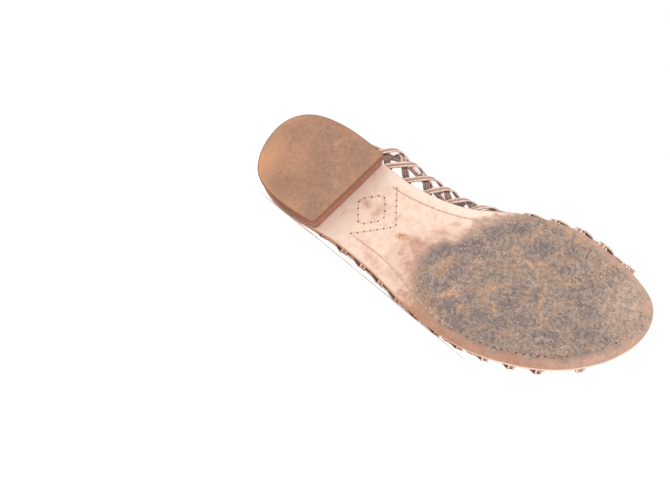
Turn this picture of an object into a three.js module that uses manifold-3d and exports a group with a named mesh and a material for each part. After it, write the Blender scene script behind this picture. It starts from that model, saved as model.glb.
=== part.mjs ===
// A flat strappy sandal for the left foot, in millimetres, lying on its outer side with +Z up.
// It is worked out standing: x runs from the heel to the toe, y to the outer side, z up from the tread.
import * as THREE from 'three';
import Module from 'manifold-3d';
import { mergeVertices } from 'three/addons/utils/BufferGeometryUtils.js';

const wasm = await Module();
wasm.setup();

// The whole sandal
const length = 250;
const ballWidth = 93;
const heelHeight = 17.6;
const toeSpring = 6.5;
const gap = 0.3;

// Sole pieces
const outsoleThickness = 4.5;
const insoleThickness = 3;
const insoleInset = 0.6;
const liftThickness = 4;
const heelInset = 0.7;
const liftFlare = 0.8;
const liftForward = 1.3;
const breastAt = 0.232 * length;
const breastSkew = 16.6;
const soleHalfPoints = 32;
const heelHalfPoints = 16;

// Straps of the cage
const strapWidth = 4.3;
const strapThickness = 1.8;
const lastedThickness = 1.2;
const lastedGap = 0.4;
const strapPitch = 15.7;
const strapLean = 0.5;
const leaveSpread = 5;
const leaveReach = 9;
const strapStep = 11;
const rootsCrossed = 5;
const familyShift = 0.7;
const rootSpread = 0.9;
const footWidth = 5.4;
const footRise = 3;
const rootRise = 1.6;
const lastedLength = 7;
const wallEndAt = 0.36 * length;
const rimInset = 1.2;
const rimThickness = 0.8;
const rimPoints = 40;
const collarWidth = 6;
const collarThickness = 2.6;
const collarHeight = 37;
const throatAt = 0.53 * length;
const collarTurnAt = 0.24 * length;
const toeLineEdgeAt = 0.905 * length;
const toeLineSetBack = 14;
const fanAt = 0.17 * length;

// How the sandal lies on its outer side, on a heel edge, the ball's strap roots and the flank:
// the sole's underside leans back to face up by lieLean, and its long axis is turned by lieTurn
const lieLean = 11.2425;
const lieTurn = 12.5129;

// Sole outline. turn: degrees round the outline from the heel's back to the toe's tip,
// where x is half the length times one less its cosine.
// inner and outer: distance to each side of the long axis as a share of the ball width.
const outlineRows = [
  { turn: 0, inner: 0, outer: 0 },
  { turn: 15, inner: 0.19, outer: 0.185 },
  { turn: 30, inner: 0.302, outer: 0.277 },
  { turn: 45, inner: 0.324, outer: 0.322 },
  { turn: 60, inner: 0.276, outer: 0.342 },
  { turn: 75, inner: 0.2, outer: 0.426 },
  { turn: 90, inner: 0.201, outer: 0.556 },
  { turn: 105, inner: 0.32, outer: 0.622 },
  { turn: 120, inner: 0.373, outer: 0.587 },
  { turn: 135, inner: 0.33, outer: 0.486 },
  { turn: 150, inner: 0.262, outer: 0.328 },
  { turn: 165, inner: 0.172, outer: 0.146 },
  { turn: 180, inner: 0.028, outer: -0.028 },
];

// Sole profile. at: share of the length. rise: underside of the outsole as a share of the heel height.
const profileRows = [
  { at: 0, rise: 1 },
  { at: 0.21, rise: 0.98 },
  { at: 0.3, rise: 0.81 },
  { at: 0.38, rise: 0.53 },
  { at: 0.46, rise: 0.25 },
  { at: 0.54, rise: 0.07 },
  { at: 0.61, rise: 0 },
  { at: 1, rise: 0 },
];
const springStart = 0.74;

// Sections of the cage, which follow the last. at: share of the length.
// innerRoot, outerRoot: how far a strap's root stands past the sole's edge on each side, mm,
// innerOut, outerOut: how far the widest line does, less than 0 inside the edge.
// flankRise: height of the widest line above the footbed, ridgeRise: height of the top, mm.
// full: how square the shoulder is, 1 for an ellipse.
const sectionRows = [
  { at: 0, innerRoot: 0.4, outerRoot: -1.75, innerOut: -1, outerOut: -4.5,
    flankRise: 16, ridgeRise: 105, full: 0.8 },
  { at: 0.15, innerRoot: 0.4, outerRoot: -1.75, innerOut: 3, outerOut: -5,
    flankRise: 16, ridgeRise: 105, full: 0.8 },
  { at: 0.27, innerRoot: 1.2, outerRoot: 1, innerOut: 15.5, outerOut: -2,
    flankRise: 16, ridgeRise: 98, full: 0.85 },
  { at: 0.4, innerRoot: 1.6, outerRoot: 1, innerOut: 13, outerOut: -1,
    flankRise: 17, ridgeRise: 78, full: 0.95 },
  { at: 0.53, innerRoot: 2, outerRoot: 0, innerOut: 6.6, outerOut: -2,
    flankRise: 13, ridgeRise: 60, full: 1 },
  { at: 0.64, innerRoot: 2.4, outerRoot: 0, innerOut: 2.6, outerOut: -2,
    flankRise: 9, ridgeRise: 46, full: 1 },
  { at: 0.75, innerRoot: 3, outerRoot: 0.8, innerOut: 3.2, outerOut: -3,
    flankRise: 7, ridgeRise: 37, full: 0.95 },
  { at: 0.92, innerRoot: 3.2, outerRoot: 1.2, innerOut: 3.6, outerOut: -2.4,
    flankRise: 5.5, ridgeRise: 27, full: 0.9 },
];
// The cage leans to the inner side by this much for each millimetre of height
const cageLean = 0.115;
// How closely the joined straps keep their form, mm
const joinTolerance = 0.2;

const radians = (degrees) => (degrees * Math.PI) / 180;
const mix = (a, b, t) => a + (b - a) * t;
const clamp = (v, low, high) => Math.min(high, Math.max(low, v));

// A smooth curve through the rows of a table, without overshoot between them
function curve(rows, key, column) {
  const at = rows.map((row) => row[key]);
  const value = rows.map((row) => row[column]);
  const slope = at.map((_, i) => {
    if (i === 0 || i === at.length - 1) return 0;
    const before = (value[i] - value[i - 1]) / (at[i] - at[i - 1]);
    const after = (value[i + 1] - value[i]) / (at[i + 1] - at[i]);
    return before * after <= 0 ? 0 : (2 * before * after) / (before + after);
  });
  return (t) => {
    const p = clamp(t, at[0], at[at.length - 1]);
    let i = 0;
    while (i < at.length - 2 && p > at[i + 1]) i += 1;
    const span = at[i + 1] - at[i];
    const u = (p - at[i]) / span;
    const bend = u * u * (3 - 2 * u);
    const start = u * (1 - u) * (1 - u) * span * slope[i];
    const end = u * u * (u - 1) * span * slope[i + 1];
    return mix(value[i], value[i + 1], bend) + start + end;
  };
}

// The outline as one closed spline through the table's rows, outer side first
const ringTurns = outlineRows.map((row) => ({ turn: row.turn, y: row.outer * ballWidth }))
  .concat(outlineRows.slice(1, -1).reverse()
    .map((row) => ({ turn: 360 - row.turn, y: -row.inner * ballWidth })));

function outline(turn) {
  const count = ringTurns.length;
  const step = 360 / count;
  const place = ((turn % 360) + 360) % 360 / step;
  const i = Math.floor(place) % count;
  const u = place - Math.floor(place);
  const [a, b, c, d] = [-1, 0, 1, 2].map((k) => ringTurns[(i + k + count) % count].y);
  const y = 0.5 * (2 * b + (c - a) * u + (2 * a - 5 * b + 4 * c - d) * u * u
    + (3 * b - a - 3 * c + d) * u * u * u);
  return new THREE.Vector2((length / 2) * (1 - Math.cos(radians(turn))), y);
}

// A point of the outline moved inwards by inset
function outlineInset(turn, inset) {
  const ahead = outline(turn + 1);
  const behind = outline(turn - 1);
  const along = ahead.sub(behind).normalize();
  return outline(turn).add(new THREE.Vector2(along.y, -along.x).multiplyScalar(inset));
}

const riseAlong = curve(profileRows, 'at', 'rise');
const rootAlong = {
  1: curve(sectionRows, 'at', 'outerRoot'),
  '-1': curve(sectionRows, 'at', 'innerRoot'),
};

// Height of the outsole's underside
function under(x) {
  const spring = clamp((x / length - springStart) / (1 - springStart), 0, 1);
  return heelHeight * riseAlong(x / length) + toeSpring * spring * spring;
}

// A closed body from triangles, its doubled vertices joined
function solidFrom(positions, triangles) {
  const geometry = new THREE.BufferGeometry();
  geometry.setAttribute('position', new THREE.Float32BufferAttribute(positions, 3));
  geometry.setIndex(triangles);
  const merged = mergeVertices(geometry, 1e-4);
  const make = (index) => new wasm.Manifold(new wasm.Mesh({
    numProp: 3,
    vertProperties: new Float32Array(merged.attributes.position.array),
    triVerts: index,
  }));
  const index = new Uint32Array(merged.index.array);
  const made = make(index);
  if (made.volume() > 0) return made;
  for (let i = 0; i < index.length; i += 3) [index[i], index[i + 1]] = [index[i + 1], index[i]];
  return make(index);
}

// A body between closed loops of the same count, closed at both ends across from side to side
function stacked(loops) {
  const count = loops[0].length;
  const positions = loops.flat().flatMap((p) => [p.x, p.y, p.z]);
  const triangles = [];
  for (let k = 0; k + 1 < loops.length; k += 1) {
    for (let i = 0; i < count; i += 1) {
      const j = (i + 1) % count;
      const a = k * count + i;
      const b = k * count + j;
      triangles.push(a, b, b + count, a, b + count, a + count);
    }
  }
  const cap = (start, flip) => {
    const add = (a, b, c) => triangles.push(start + a, start + (flip ? c : b), start + (flip ? b : c));
    add(0, count - 1, 1);
    for (let i = 1; i + 1 < count - i; i += 1) {
      const [a, b, c, d] = [i, i + 1, count - i - 1, count - i];
      add(b, a, d);
      if (b !== c) add(b, d, c);
    }
  };
  cap(0, false);
  cap((loops.length - 1) * count, true);
  return solidFrom(positions, triangles);
}

// A loop of the whole sole outline at a height that may change along the shoe
function soleLoop(inset, heightAt) {
  const loop = [];
  for (let i = 0; i < 2 * soleHalfPoints; i += 1) {
    const p = outlineInset((360 * i) / (2 * soleHalfPoints), inset);
    loop.push(new THREE.Vector3(p.x, p.y, heightAt(p.x)));
  }
  return loop;
}

// The outsole: one bent sheet of leather with its edges broken
function outsole() {
  return stacked([
    soleLoop(0.7, (x) => under(x)),
    soleLoop(0, (x) => under(x) + 0.7),
    soleLoop(0, (x) => under(x) + outsoleThickness - 0.5),
    soleLoop(0.5, (x) => under(x) + outsoleThickness),
  ]);
}

const lastedFloor = (x) => under(x) + outsoleThickness + lastedGap;
const footbedFloor = (x) => lastedFloor(x) + lastedThickness + lastedGap;

const outAlong = {
  1: curve(sectionRows, 'at', 'outerOut'),
  '-1': curve(sectionRows, 'at', 'innerOut'),
};
const flankAlong = curve(sectionRows, 'at', 'flankRise');
const ridgeAlong = curve(sectionRows, 'at', 'ridgeRise');
const fullAlong = curve(sectionRows, 'at', 'full');

// How far the cage's middle stands past the sole's edge, below its widest line, before its lean
function flankReach(side, at, rise) {
  const t = clamp((rise - rootRise) / (flankAlong(at) - rootRise), 0, 1);
  return mix(rootAlong[side](at), outAlong[side](at), 1 - (1 - t) * (1 - t));
}

// A loop of the insole at a level above its underside, which keeps clear of the straps
function insoleLoop(inset, level) {
  const loop = [];
  const rise = lastedThickness / 2 + lastedGap + level;
  for (let i = 0; i < 2 * soleHalfPoints; i += 1) {
    const turn = (360 * i) / (2 * soleHalfPoints);
    const side = turn <= 180 ? 1 : -1;
    const reach = flankReach(side, outline(turn).x / length, rise) - side * cageLean * rise;
    const room = strapThickness / 2 + gap + 4 * joinTolerance + (familyShift * rise) / 9;
    const p = outlineInset(turn, Math.max(insoleInset, room - reach) + inset);
    loop.push(new THREE.Vector3(p.x, p.y, footbedFloor(p.x) + level));
  }
  return loop;
}

// The insole, over the lasted ends of the straps
function insole() {
  return stacked([
    insoleLoop(1.2, 0),
    insoleLoop(0.5, 0.6),
    insoleLoop(0, insoleThickness - 0.8),
    insoleLoop(0.8, insoleThickness),
  ]);
}

const breastX = (y) => breastAt - Math.tan(radians(breastSkew)) * y;

// Turn at which the outline meets the breast line, on the outer (1) or inner (-1) side
function breastTurn(side) {
  let [low, high] = [10, 90];
  for (let i = 0; i < 40; i += 1) {
    const mid = (low + high) / 2;
    const p = outline(side * mid);
    if (p.x < breastX(p.y)) low = mid;
    else high = mid;
  }
  return side * low;
}

// A loop round the heel: the outline behind the breast, closed by the straight breast line
function heelLoop(inset, setBack, heightAt) {
  const points = [];
  const outerEnd = breastTurn(1);
  const innerEnd = breastTurn(-1);
  const place = (turn) => {
    const p = outlineInset(turn, inset);
    const limit = breastX(p.y) - setBack;
    return new THREE.Vector3(Math.min(p.x, limit), p.y, heightAt(p.x));
  };
  points.push(place(0));
  for (let i = 1; i <= heelHalfPoints; i += 1) points.push(place((outerEnd * i) / heelHalfPoints));
  for (let i = heelHalfPoints; i >= 1; i -= 1) points.push(place((innerEnd * i) / heelHalfPoints));
  return points;
}

// The stacked heel block under the seat
function heel() {
  const top = (x) => under(x) - gap;
  return stacked([
    heelLoop(0.2 - liftFlare, 0.2 - liftForward, () => liftThickness + gap),
    heelLoop(heelInset, 0, top),
  ]);
}

// The top lift, the heel's wearing layer
function topLift() {
  return stacked([
    heelLoop(0.6 - liftFlare, 0.6 - liftForward, () => 0),
    heelLoop(-liftFlare, -liftForward, () => 0.6),
    heelLoop(-liftFlare, -liftForward, () => liftThickness),
  ]);
}

// Each side's edge from the heel's back forwards, measured along the outline
function edgeTable(side) {
  const rows = [];
  let run = 0;
  let last = outline(0);
  for (let turn = 0; turn <= 170; turn += 1) {
    const p = outline(side * turn);
    run += p.distanceTo(last);
    last = p;
    rows.push({ run, turn: side * turn, x: p.x });
  }
  return rows;
}
const edges = { 1: edgeTable(1), '-1': edgeTable(-1) };

function lookUp(rows, from, value, to) {
  let i = 0;
  while (i < rows.length - 2 && rows[i + 1][from] < value) i += 1;
  const [a, b] = [rows[i], rows[i + 1]];
  const t = clamp((value - a[from]) / (b[from] - a[from] || 1), 0, 1);
  return mix(a[to], b[to], t);
}
const runAtX = (side, x) => lookUp(edges[side], 'x', x, 'run');
const xAtRun = (side, run) => lookUp(edges[side], 'run', run, 'x');

// y of the foot's top line: midway between the edges, a little to the inner side over the instep
function ridgeY(x) {
  const turn = (Math.acos(1 - (2 * clamp(x, 1, length - 1)) / length) * 180) / Math.PI;
  const middle = (outline(turn).y + outline(-turn).y) / 2;
  const share = clamp((x / length - 0.2) / 0.35, 0, 1);
  return middle - 4 * share;
}

// The cage's half section at a run along one side's edge: a line of points from the lasted end,
// round the sole's edge, up the flank and over to the ridge, with its length so far
const sectionStore = new Map();
function section(side, run) {
  const key = `${side}:${run.toFixed(4)}`;
  if (sectionStore.has(key)) return sectionStore.get(key);
  const turn = lookUp(edges[side], 'run', run, 'turn');
  const edge = outline(turn);
  const across = Math.max(edge.x, fanAt);
  const axis = new THREE.Vector2(across, ridgeY(across));
  const outward = edge.clone().sub(axis);
  const half = outward.length();
  outward.normalize();
  const at = edge.x / length;
  const out = outAlong[side](at);
  const knuckle = rootAlong[side](at);
  const floor = lastedFloor(edge.x) + lastedThickness / 2;
  const flank = flankAlong(at);
  const ridge = ridgeAlong(at);
  const flat = [];
  flat.push([half - lastedLength, 0], [half - lastedLength / 2, 0], [half + knuckle - 2.2, 0]);
  flat.push([half + knuckle - 0.7, 0.35], [half + knuckle, rootRise]);
  for (let i = 1; i <= 5; i += 1) {
    const rise = mix(rootRise, flank, i / 5);
    flat.push([half + flankReach(side, at, rise), rise]);
  }
  for (let i = 1; i <= 14; i += 1) {
    const angle = (Math.PI / 2) * (i / 14);
    const reach = (half + out) * Math.cos(angle) ** fullAlong(at);
    flat.push([i === 14 ? 0 : reach, flank + (ridge - flank) * Math.sin(angle)]);
  }
  const points = flat.map(([r, z]) => new THREE.Vector3(
    axis.x + outward.x * r, axis.y + outward.y * r - cageLean * z, floor + z));
  const lengths = [0];
  for (let i = 1; i < points.length; i += 1) {
    lengths.push(lengths[i - 1] + points[i].distanceTo(points[i - 1]));
  }
  const made = { points, lengths, root: lengths[4], girth: lengths[lengths.length - 1] };
  sectionStore.set(key, made);
  return made;
}

// A point of the cage: side, run along the edge, and height up the section from the root, mm
function cagePoint(side, run, up) {
  const { points, lengths, root } = section(side, run);
  const v = clamp(root + up, 0, lengths[lengths.length - 1]);
  let i = 0;
  while (i < lengths.length - 2 && lengths[i + 1] < v) i += 1;
  return points[i].clone().lerp(points[i + 1], (v - lengths[i]) / (lengths[i + 1] - lengths[i]));
}

function heightToRidge(side, run) {
  const s = section(side, run);
  return s.girth - s.root;
}

// A place of the cage, carried round the heel's back where the run turns negative,
// and over the ridge where the height passes it, with the cage's outward normal there
function cagePlace(side, run, up) {
  let [s, r, u] = run < 0 ? [-side, -run, up] : [side, run, up];
  const top = heightToRidge(s, r);
  if (u > top) {
    const x = xAtRun(s, r);
    const share = clamp((u - top) / top, 0, 1);
    s = -s;
    r = runAtX(s, x);
    u = heightToRidge(s, r) * (1 - share);
  }
  const d = 0.6;
  const lowRun = Math.max(0.01, r - d);
  const along = cagePoint(s, r + d, u).sub(cagePoint(s, lowRun, u));
  const nearTop = Math.min(u + d, heightToRidge(s, r) - 0.05);
  const rise = cagePoint(s, r, nearTop).sub(cagePoint(s, r, nearTop - 2 * d));
  const normal = along.cross(rise).normalize();
  const point = cagePoint(s, r, u);
  const inside = new THREE.Vector3(Math.max(point.x, fanAt), ridgeY(Math.max(point.x, fanAt)),
    footbedFloor(point.x) + 18);
  if (normal.dot(point.clone().sub(inside)) < 0) normal.negate();
  return { point, normal };
}

// A band along a row of places {point, normal, width, thickness, shift}
function band(places, closed = false) {
  const positions = [];
  const count = places.length;
  places.forEach((place, i) => {
    const next = places[closed ? (i + 1) % count : Math.min(i + 1, count - 1)].point;
    const last = places[closed ? (i + count - 1) % count : Math.max(i - 1, 0)].point;
    const along = next.clone().sub(last).normalize();
    const across = place.normal.clone().cross(along).normalize();
    const up = along.clone().cross(across).normalize();
    const middle = place.point.clone().addScaledVector(up, place.shift);
    for (const [a, b] of [[-1, -1], [1, -1], [1, 1], [-1, 1]]) {
      const corner = middle.clone().addScaledVector(across, (a * place.width) / 2)
        .addScaledVector(up, (b * place.thickness) / 2);
      positions.push(corner.x, corner.y, corner.z);
    }
  });
  const triangles = [];
  for (let i = 0; i < (closed ? count : count - 1); i += 1) {
    const j = (i + 1) % count;
    for (let k = 0; k < 4; k += 1) {
      const [a, b] = [i * 4 + k, i * 4 + ((k + 1) % 4)];
      const [c, d] = [j * 4 + ((k + 1) % 4), j * 4 + k];
      triangles.push(a, b, c, a, c, d);
    }
  }
  if (!closed) {
    const end = (count - 1) * 4;
    triangles.push(0, 2, 1, 0, 3, 2, end, end + 1, end + 2, end, end + 2, end + 3);
  }
  return solidFrom(positions, triangles);
}

// Height of the collar above the root along a side, low round the heel and rising to the throat
function collarUp(side, run) {
  const turnRun = runAtX(side, collarTurnAt);
  const throatRun = runAtX(side, throatAt);
  if (run >= throatRun) return Infinity;
  const low = collarHeight + 6 * clamp(1 - run / turnRun, 0, 1) ** 2;
  if (run <= turnRun) return low;
  const share = (run - turnRun) / (throatRun - turnRun);
  return mix(heightToRidge(side, throatRun), collarHeight, Math.sqrt(1 - share * share));
}

// Run along the edge at which the toe line lies, set back towards the ridge
function toeRun(side, up) {
  const edgeRun = runAtX(side, toeLineEdgeAt);
  const share = clamp(up / heightToRidge(side, edgeRun - toeLineSetBack / 2), 0, 1);
  return edgeRun - toeLineSetBack * Math.sin((Math.PI / 2) * share);
}

const rootCount = (side) => Math.floor((runAtX(side, toeLineEdgeAt) - 4) / strapPitch);
const rootRun = (index) => (index + 0.5) * strapPitch;

// The lasted end that two straps share, from under the insole out round the sole's edge
function foot(side, run) {
  const { root } = section(side, run);
  const rows = [
    { up: -root, thickness: lastedThickness },
    { up: -root * 0.22, thickness: lastedThickness },
    { up: 0, thickness: strapThickness },
    { up: footRise, thickness: strapThickness },
  ];
  return band(rows.map(({ up, thickness }) => ({
    ...cagePlace(side, run, up), width: footWidth, thickness, shift: 0,
  })));
}

// True where the cage has straps: below the collar and behind the toe line
function isCage({ side, run, up }) {
  const here = Math.abs(run);
  const realSide = run < 0 ? -side : side;
  return up < collarUp(realSide, here) && here < toeRun(realSide, up);
}

// How far a strap has swung aside at a height above its root, besides its steady lean
function swing(up) {
  return leaveSpread * (1 - Math.exp(-up / leaveReach));
}

// The way of one strap from a root, leaning to the toe (1) or the heel (-1), as a function of 0 to 1.
// Behind the instep it climbs the wall, and in front it makes for a root across the foot.
function strapWay(side, index, lean) {
  const start = rootRun(index);
  const far = index + lean * rootsCrossed;
  if (xAtRun(side, start) < wallEndAt) {
    const reach = 75;
    return (t) => {
      const up = reach * t;
      return { side, run: start + lean * (strapLean * up + swing(up) - rootSpread), up };
    };
  }
  const startX = xAtRun(side, start - lean * rootSpread);
  const farRun = rootRun(far);
  const farX = farRun < 0 ? farRun : xAtRun(-side, farRun + lean * rootSpread);
  return (t) => {
    const here = t < 0.5 ? side : -side;
    const straight = mix(startX, farX, t);
    const climb = 2 * heightToRidge(here, runAtX(here, straight));
    const aside = swing(climb * t) * (1 - t) - swing(climb * (1 - t)) * t;
    const run = runAtX(here, straight + lean * aside);
    return { side: here, run, up: heightToRidge(here, run) * 2 * (t < 0.5 ? t : 1 - t) };
  };
}

// The places of one strap, and whether it lands at a root across the foot
function strap(side, index, lean) {
  const way = strapWay(side, index, lean);
  const samples = 100;
  let end = 1;
  let landed = true;
  for (let i = 1; i < samples; i += 1) {
    if (!isCage(way(i / samples))) {
      end = i / samples;
      landed = false;
      break;
    }
  }
  const lengths = [0];
  const fine = 60;
  let last = null;
  for (let i = 0; i <= fine; i += 1) {
    const { side: s, run, up } = way((end * i) / fine);
    const { point } = cagePlace(s, run, up);
    if (last) lengths.push(lengths[i - 1] + point.distanceTo(last));
    last = point;
  }
  const total = lengths[fine];
  const count = Math.max(2, Math.round(total / strapStep));
  const places = [];
  for (let k = 0; k <= count; k += 1) {
    const want = (total * k) / count;
    let i = 0;
    while (i < fine - 1 && lengths[i + 1] < want) i += 1;
    const t = (end * (i + (want - lengths[i]) / (lengths[i + 1] - lengths[i]))) / fine;
    const { side: s, run, up } = way(clamp(t, 0.002, 0.998));
    const fromStart = clamp(want / 9, 0, 1);
    const fromEnd = clamp((total - want) / 9, 0, 1);
    places.push({
      ...cagePlace(s, run, up),
      width: strapWidth,
      thickness: strapThickness,
      shift: familyShift * lean * side * Math.min(fromStart, fromEnd),
    });
  }
  return { places, landed, total };
}

// The collar band round the foot opening
function collar() {
  const places = [];
  const ringSide = (side) => {
    const list = [];
    const turnRun = runAtX(side, collarTurnAt);
    const throatRun = runAtX(side, throatAt);
    const wallSteps = 12;
    for (let i = 0; i < wallSteps; i += 1) list.push((turnRun * i) / wallSteps);
    const rising = 12;
    for (let i = 0; i <= rising; i += 1) {
      list.push(turnRun + (throatRun - turnRun) * Math.sin((Math.PI / 2) * (i / rising)));
    }
    return list.map((run, i) => {
      const up = i === list.length - 1 ? heightToRidge(side, throatRun) : collarUp(side, run);
      return cagePlace(side, Math.max(run, 0.01), Math.min(up, heightToRidge(side, run)));
    });
  };
  const outer = ringSide(1);
  const inner = ringSide(-1);
  places.push(...outer.slice(0, -1));
  const throat = outer[outer.length - 1];
  throat.normal = new THREE.Vector3(0.15, 0, 1).normalize();
  places.push(throat, ...inner.slice(1, -1).reverse());
  const size = { width: collarWidth, thickness: collarThickness, shift: 0 };
  return band(places.map((place) => ({ ...place, ...size })), true);
}

// The band along the open toe
function toeBand() {
  const size = { width: strapWidth + 0.6, thickness: strapThickness + 0.5, shift: 0 };
  const half = (side) => {
    const root = runAtX(side, toeLineEdgeAt);
    const { root: inset } = section(side, root);
    const list = [-inset, -inset * 0.3, -inset * 0.1].map((up) => ({
      ...cagePlace(side, root, up), ...size, thickness: lastedThickness,
    }));
    const top = heightToRidge(side, root - toeLineSetBack);
    const steps = 9;
    for (let i = 0; i < steps; i += 1) {
      const up = (top * i) / steps;
      list.push({ ...cagePlace(side, toeRun(side, up), up), ...size });
    }
    return list;
  };
  const middleX = (xAtRun(1, toeRun(1, 200)) + xAtRun(-1, toeRun(-1, 200))) / 2;
  const middle = cagePlace(1, runAtX(1, middleX), heightToRidge(1, runAtX(1, middleX)));
  middle.normal = new THREE.Vector3(0.2, 0, 1).normalize();
  return band([...half(1), { ...middle, ...size }, ...half(-1).reverse()]);
}

// The lasted rim that the straps' ends share, between outsole and insole
function rim() {
  const places = [];
  for (let i = 0; i < rimPoints; i += 1) {
    const p = outlineInset((360 * i) / rimPoints, (rimInset + lastedLength) / 2);
    places.push({
      point: new THREE.Vector3(p.x, p.y, lastedFloor(p.x) + lastedThickness / 2),
      normal: new THREE.Vector3(0, 0, -1),
      width: lastedLength - rimInset,
      thickness: rimThickness,
      shift: 0,
    });
  }
  return band(places, true);
}

// The upper: every strap, the collar, the toe band and the rim joined into one body
function upper() {
  const bodies = [rim(), collar(), toeBand()];
  for (const side of [1, -1]) {
    for (let index = 0; index < rootCount(side); index += 1) {
      bodies.push(foot(side, rootRun(index)));
      for (const lean of [1, -1]) {
        const { places, landed, total } = strap(side, index, lean);
        if (total > 6 && (side > 0 || !landed)) bodies.push(band(places));
      }
    }
  }
  const joined = bodies.reduce((all, body) => all.add(body));
  return joined.asOriginal().simplify(joinTolerance);
}

// The turn from the standing shoe to the lying one
function lying() {
  const down = new THREE.Vector3(
    -Math.sin(radians(lieTurn)) * Math.cos(radians(lieLean)),
    Math.cos(radians(lieTurn)) * Math.cos(radians(lieLean)),
    Math.sin(radians(lieLean)));
  const up = down.clone().negate();
  const along = new THREE.Vector3(1, 0, 0).addScaledVector(up, -up.x).normalize();
  const back = up.clone().cross(along);
  return new THREE.Matrix4().makeBasis(along, back, up).transpose();
}

// A named mesh from a joined body, turned as the sandal lies
function node(name, body, colour) {
  const mesh = body.getMesh();
  const positions = new Float32Array(mesh.numVert * 3);
  for (let i = 0; i < mesh.numVert; i += 1) {
    positions.set(mesh.vertProperties.subarray(i * mesh.numProp, i * mesh.numProp + 3), i * 3);
  }
  const geometry = new THREE.BufferGeometry();
  geometry.setAttribute('position', new THREE.BufferAttribute(positions, 3));
  geometry.setIndex(new THREE.BufferAttribute(new Uint32Array(mesh.triVerts), 1));
  geometry.applyMatrix4(lying());
  const made = new THREE.Mesh(geometry, new THREE.MeshStandardMaterial({ color: colour }));
  made.name = name;
  return made;
}

const group = new THREE.Group();
group.add(node('outsole', outsole(), 0xd9b395));
group.add(node('insole', insole(), 0xc98d5a));
group.add(node('heel', heel(), 0x8e5443));
group.add(node('top_lift', topLift(), 0xa88672));
group.add(node('upper', upper(), 0xc99a86));

// The lowest point comes to the floor, and the box's middle over the origin
const box = new THREE.Box3().setFromObject(group);
const settle = new THREE.Vector3(-(box.min.x + box.max.x) / 2, -(box.min.y + box.max.y) / 2, -box.min.z);
group.children.forEach((mesh) => mesh.geometry.translate(settle.x, settle.y, settle.z));

export default group;
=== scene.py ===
# The left sandal of a pair, with a cage of crossing metallic straps, lying on its outer side.
# Shapes are worked out standing, in millimetres: x from the heel to the toe, y to the outer
# side, z up from the tread. lay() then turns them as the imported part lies, in metres.
import math

import bmesh
import bpy
import numpy as np
from mathutils import Euler, Matrix, Vector


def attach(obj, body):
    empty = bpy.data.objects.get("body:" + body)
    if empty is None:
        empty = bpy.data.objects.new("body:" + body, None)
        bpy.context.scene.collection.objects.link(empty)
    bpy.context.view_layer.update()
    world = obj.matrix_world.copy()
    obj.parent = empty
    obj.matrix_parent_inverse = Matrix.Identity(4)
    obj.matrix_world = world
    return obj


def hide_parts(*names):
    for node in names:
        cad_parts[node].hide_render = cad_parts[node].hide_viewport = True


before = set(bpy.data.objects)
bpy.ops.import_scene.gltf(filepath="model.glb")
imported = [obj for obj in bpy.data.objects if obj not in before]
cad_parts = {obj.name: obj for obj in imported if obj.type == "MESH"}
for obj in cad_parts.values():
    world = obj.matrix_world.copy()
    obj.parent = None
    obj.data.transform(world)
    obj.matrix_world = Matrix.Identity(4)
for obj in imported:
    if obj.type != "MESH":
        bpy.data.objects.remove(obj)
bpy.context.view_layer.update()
print("frame loaded")

# The form of the last and the sole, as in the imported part
shoe = {
    "length": 250.0, "ballWidth": 93.0, "heelHeight": 17.6, "toeSpring": 6.5, "springStart": 0.74,
    "outsole": 4.5, "insole": 3.0, "insoleInset": 0.6, "lasted": 1.2, "lastedGap": 0.4,
    "lift": 4.0, "heelInset": 0.7, "flare": 0.8, "forward": 1.3, "gap": 0.3,
    "breastAt": 58.0, "breastSkew": 16.6,
    "lean": 11.2425, "turn": 12.5129, "settle": (-121.5810, -30.0933, 25.7377),
}
# Distance of the sole's edge from the long axis, in ball widths, each 15 degrees from heel to toe
innerShares = [0, 0.19, 0.302, 0.324, 0.276, 0.2, 0.201, 0.32, 0.373, 0.33, 0.262, 0.172, 0.028]
outerShares = [0, 0.185, 0.277, 0.322, 0.342, 0.426, 0.556, 0.622, 0.587, 0.486, 0.328, 0.146, -0.028]
# Rise of the outsole's underside in heel heights, at shares of the length
profileRows = {
    "at": [0, 0.21, 0.3, 0.38, 0.46, 0.54, 0.61, 1],
    "rise": [1, 0.98, 0.81, 0.53, 0.25, 0.07, 0, 0],
}
# The cage's sections: how far roots and flanks pass the sole's edge, and the heights, mm
sectionRows = {
    "at": [0, 0.15, 0.27, 0.4, 0.53, 0.64, 0.75, 0.92],
    "innerRoot": [0.4, 0.4, 1.2, 1.6, 2, 2.4, 3, 3.2],
    "outerRoot": [-1.75, -1.75, 1, 1, 0, 0, 0.8, 1.2],
    "innerOut": [-1, 3, 15.5, 13, 6.6, 2.6, 3.2, 3.6],
    "outerOut": [-4.5, -5, -2, -1, -2, -2, -3, -2.4],
    "flankRise": [16, 16, 16, 17, 13, 9, 7, 5.5],
    "ridgeRise": [105, 105, 98, 78, 60, 46, 37, 27],
    "full": [0.8, 0.8, 0.85, 0.95, 1, 1, 0.95, 0.9],
}
cage = {
    "pitch": 15.7, "climb": 0.5, "leave": 5.0, "leaveReach": 9.0, "crossed": 5, "spread": 0.9,
    "wallEnd": 90.0, "wallClimb": 75.0, "lean": 0.115, "rootRise": 1.6, "lastedLength": 7.0, "fanAt": 42.5,
    "ridgeAside": 4.0, "collarHeight": 37.0, "collarDip": 6.0, "throatAt": 132.5, "collarTurnAt": 60.0,
    "toeLineAt": 226.25, "toeLineSetBack": 14.0,
}


def unit(vectors):
    return vectors / np.linalg.norm(vectors, axis=-1, keepdims=True)


def mix(a, b, t):
    return a + (b - a) * t


def smooth(low, high, value):
    t = np.clip((value - low) / (high - low), 0, 1)
    return t * t * (3 - 2 * t)


def runOf(points):
    # Distance along a line of points, from 0
    return np.concatenate([[0], np.cumsum(np.linalg.norm(np.diff(points, axis=0), axis=1))])


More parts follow.
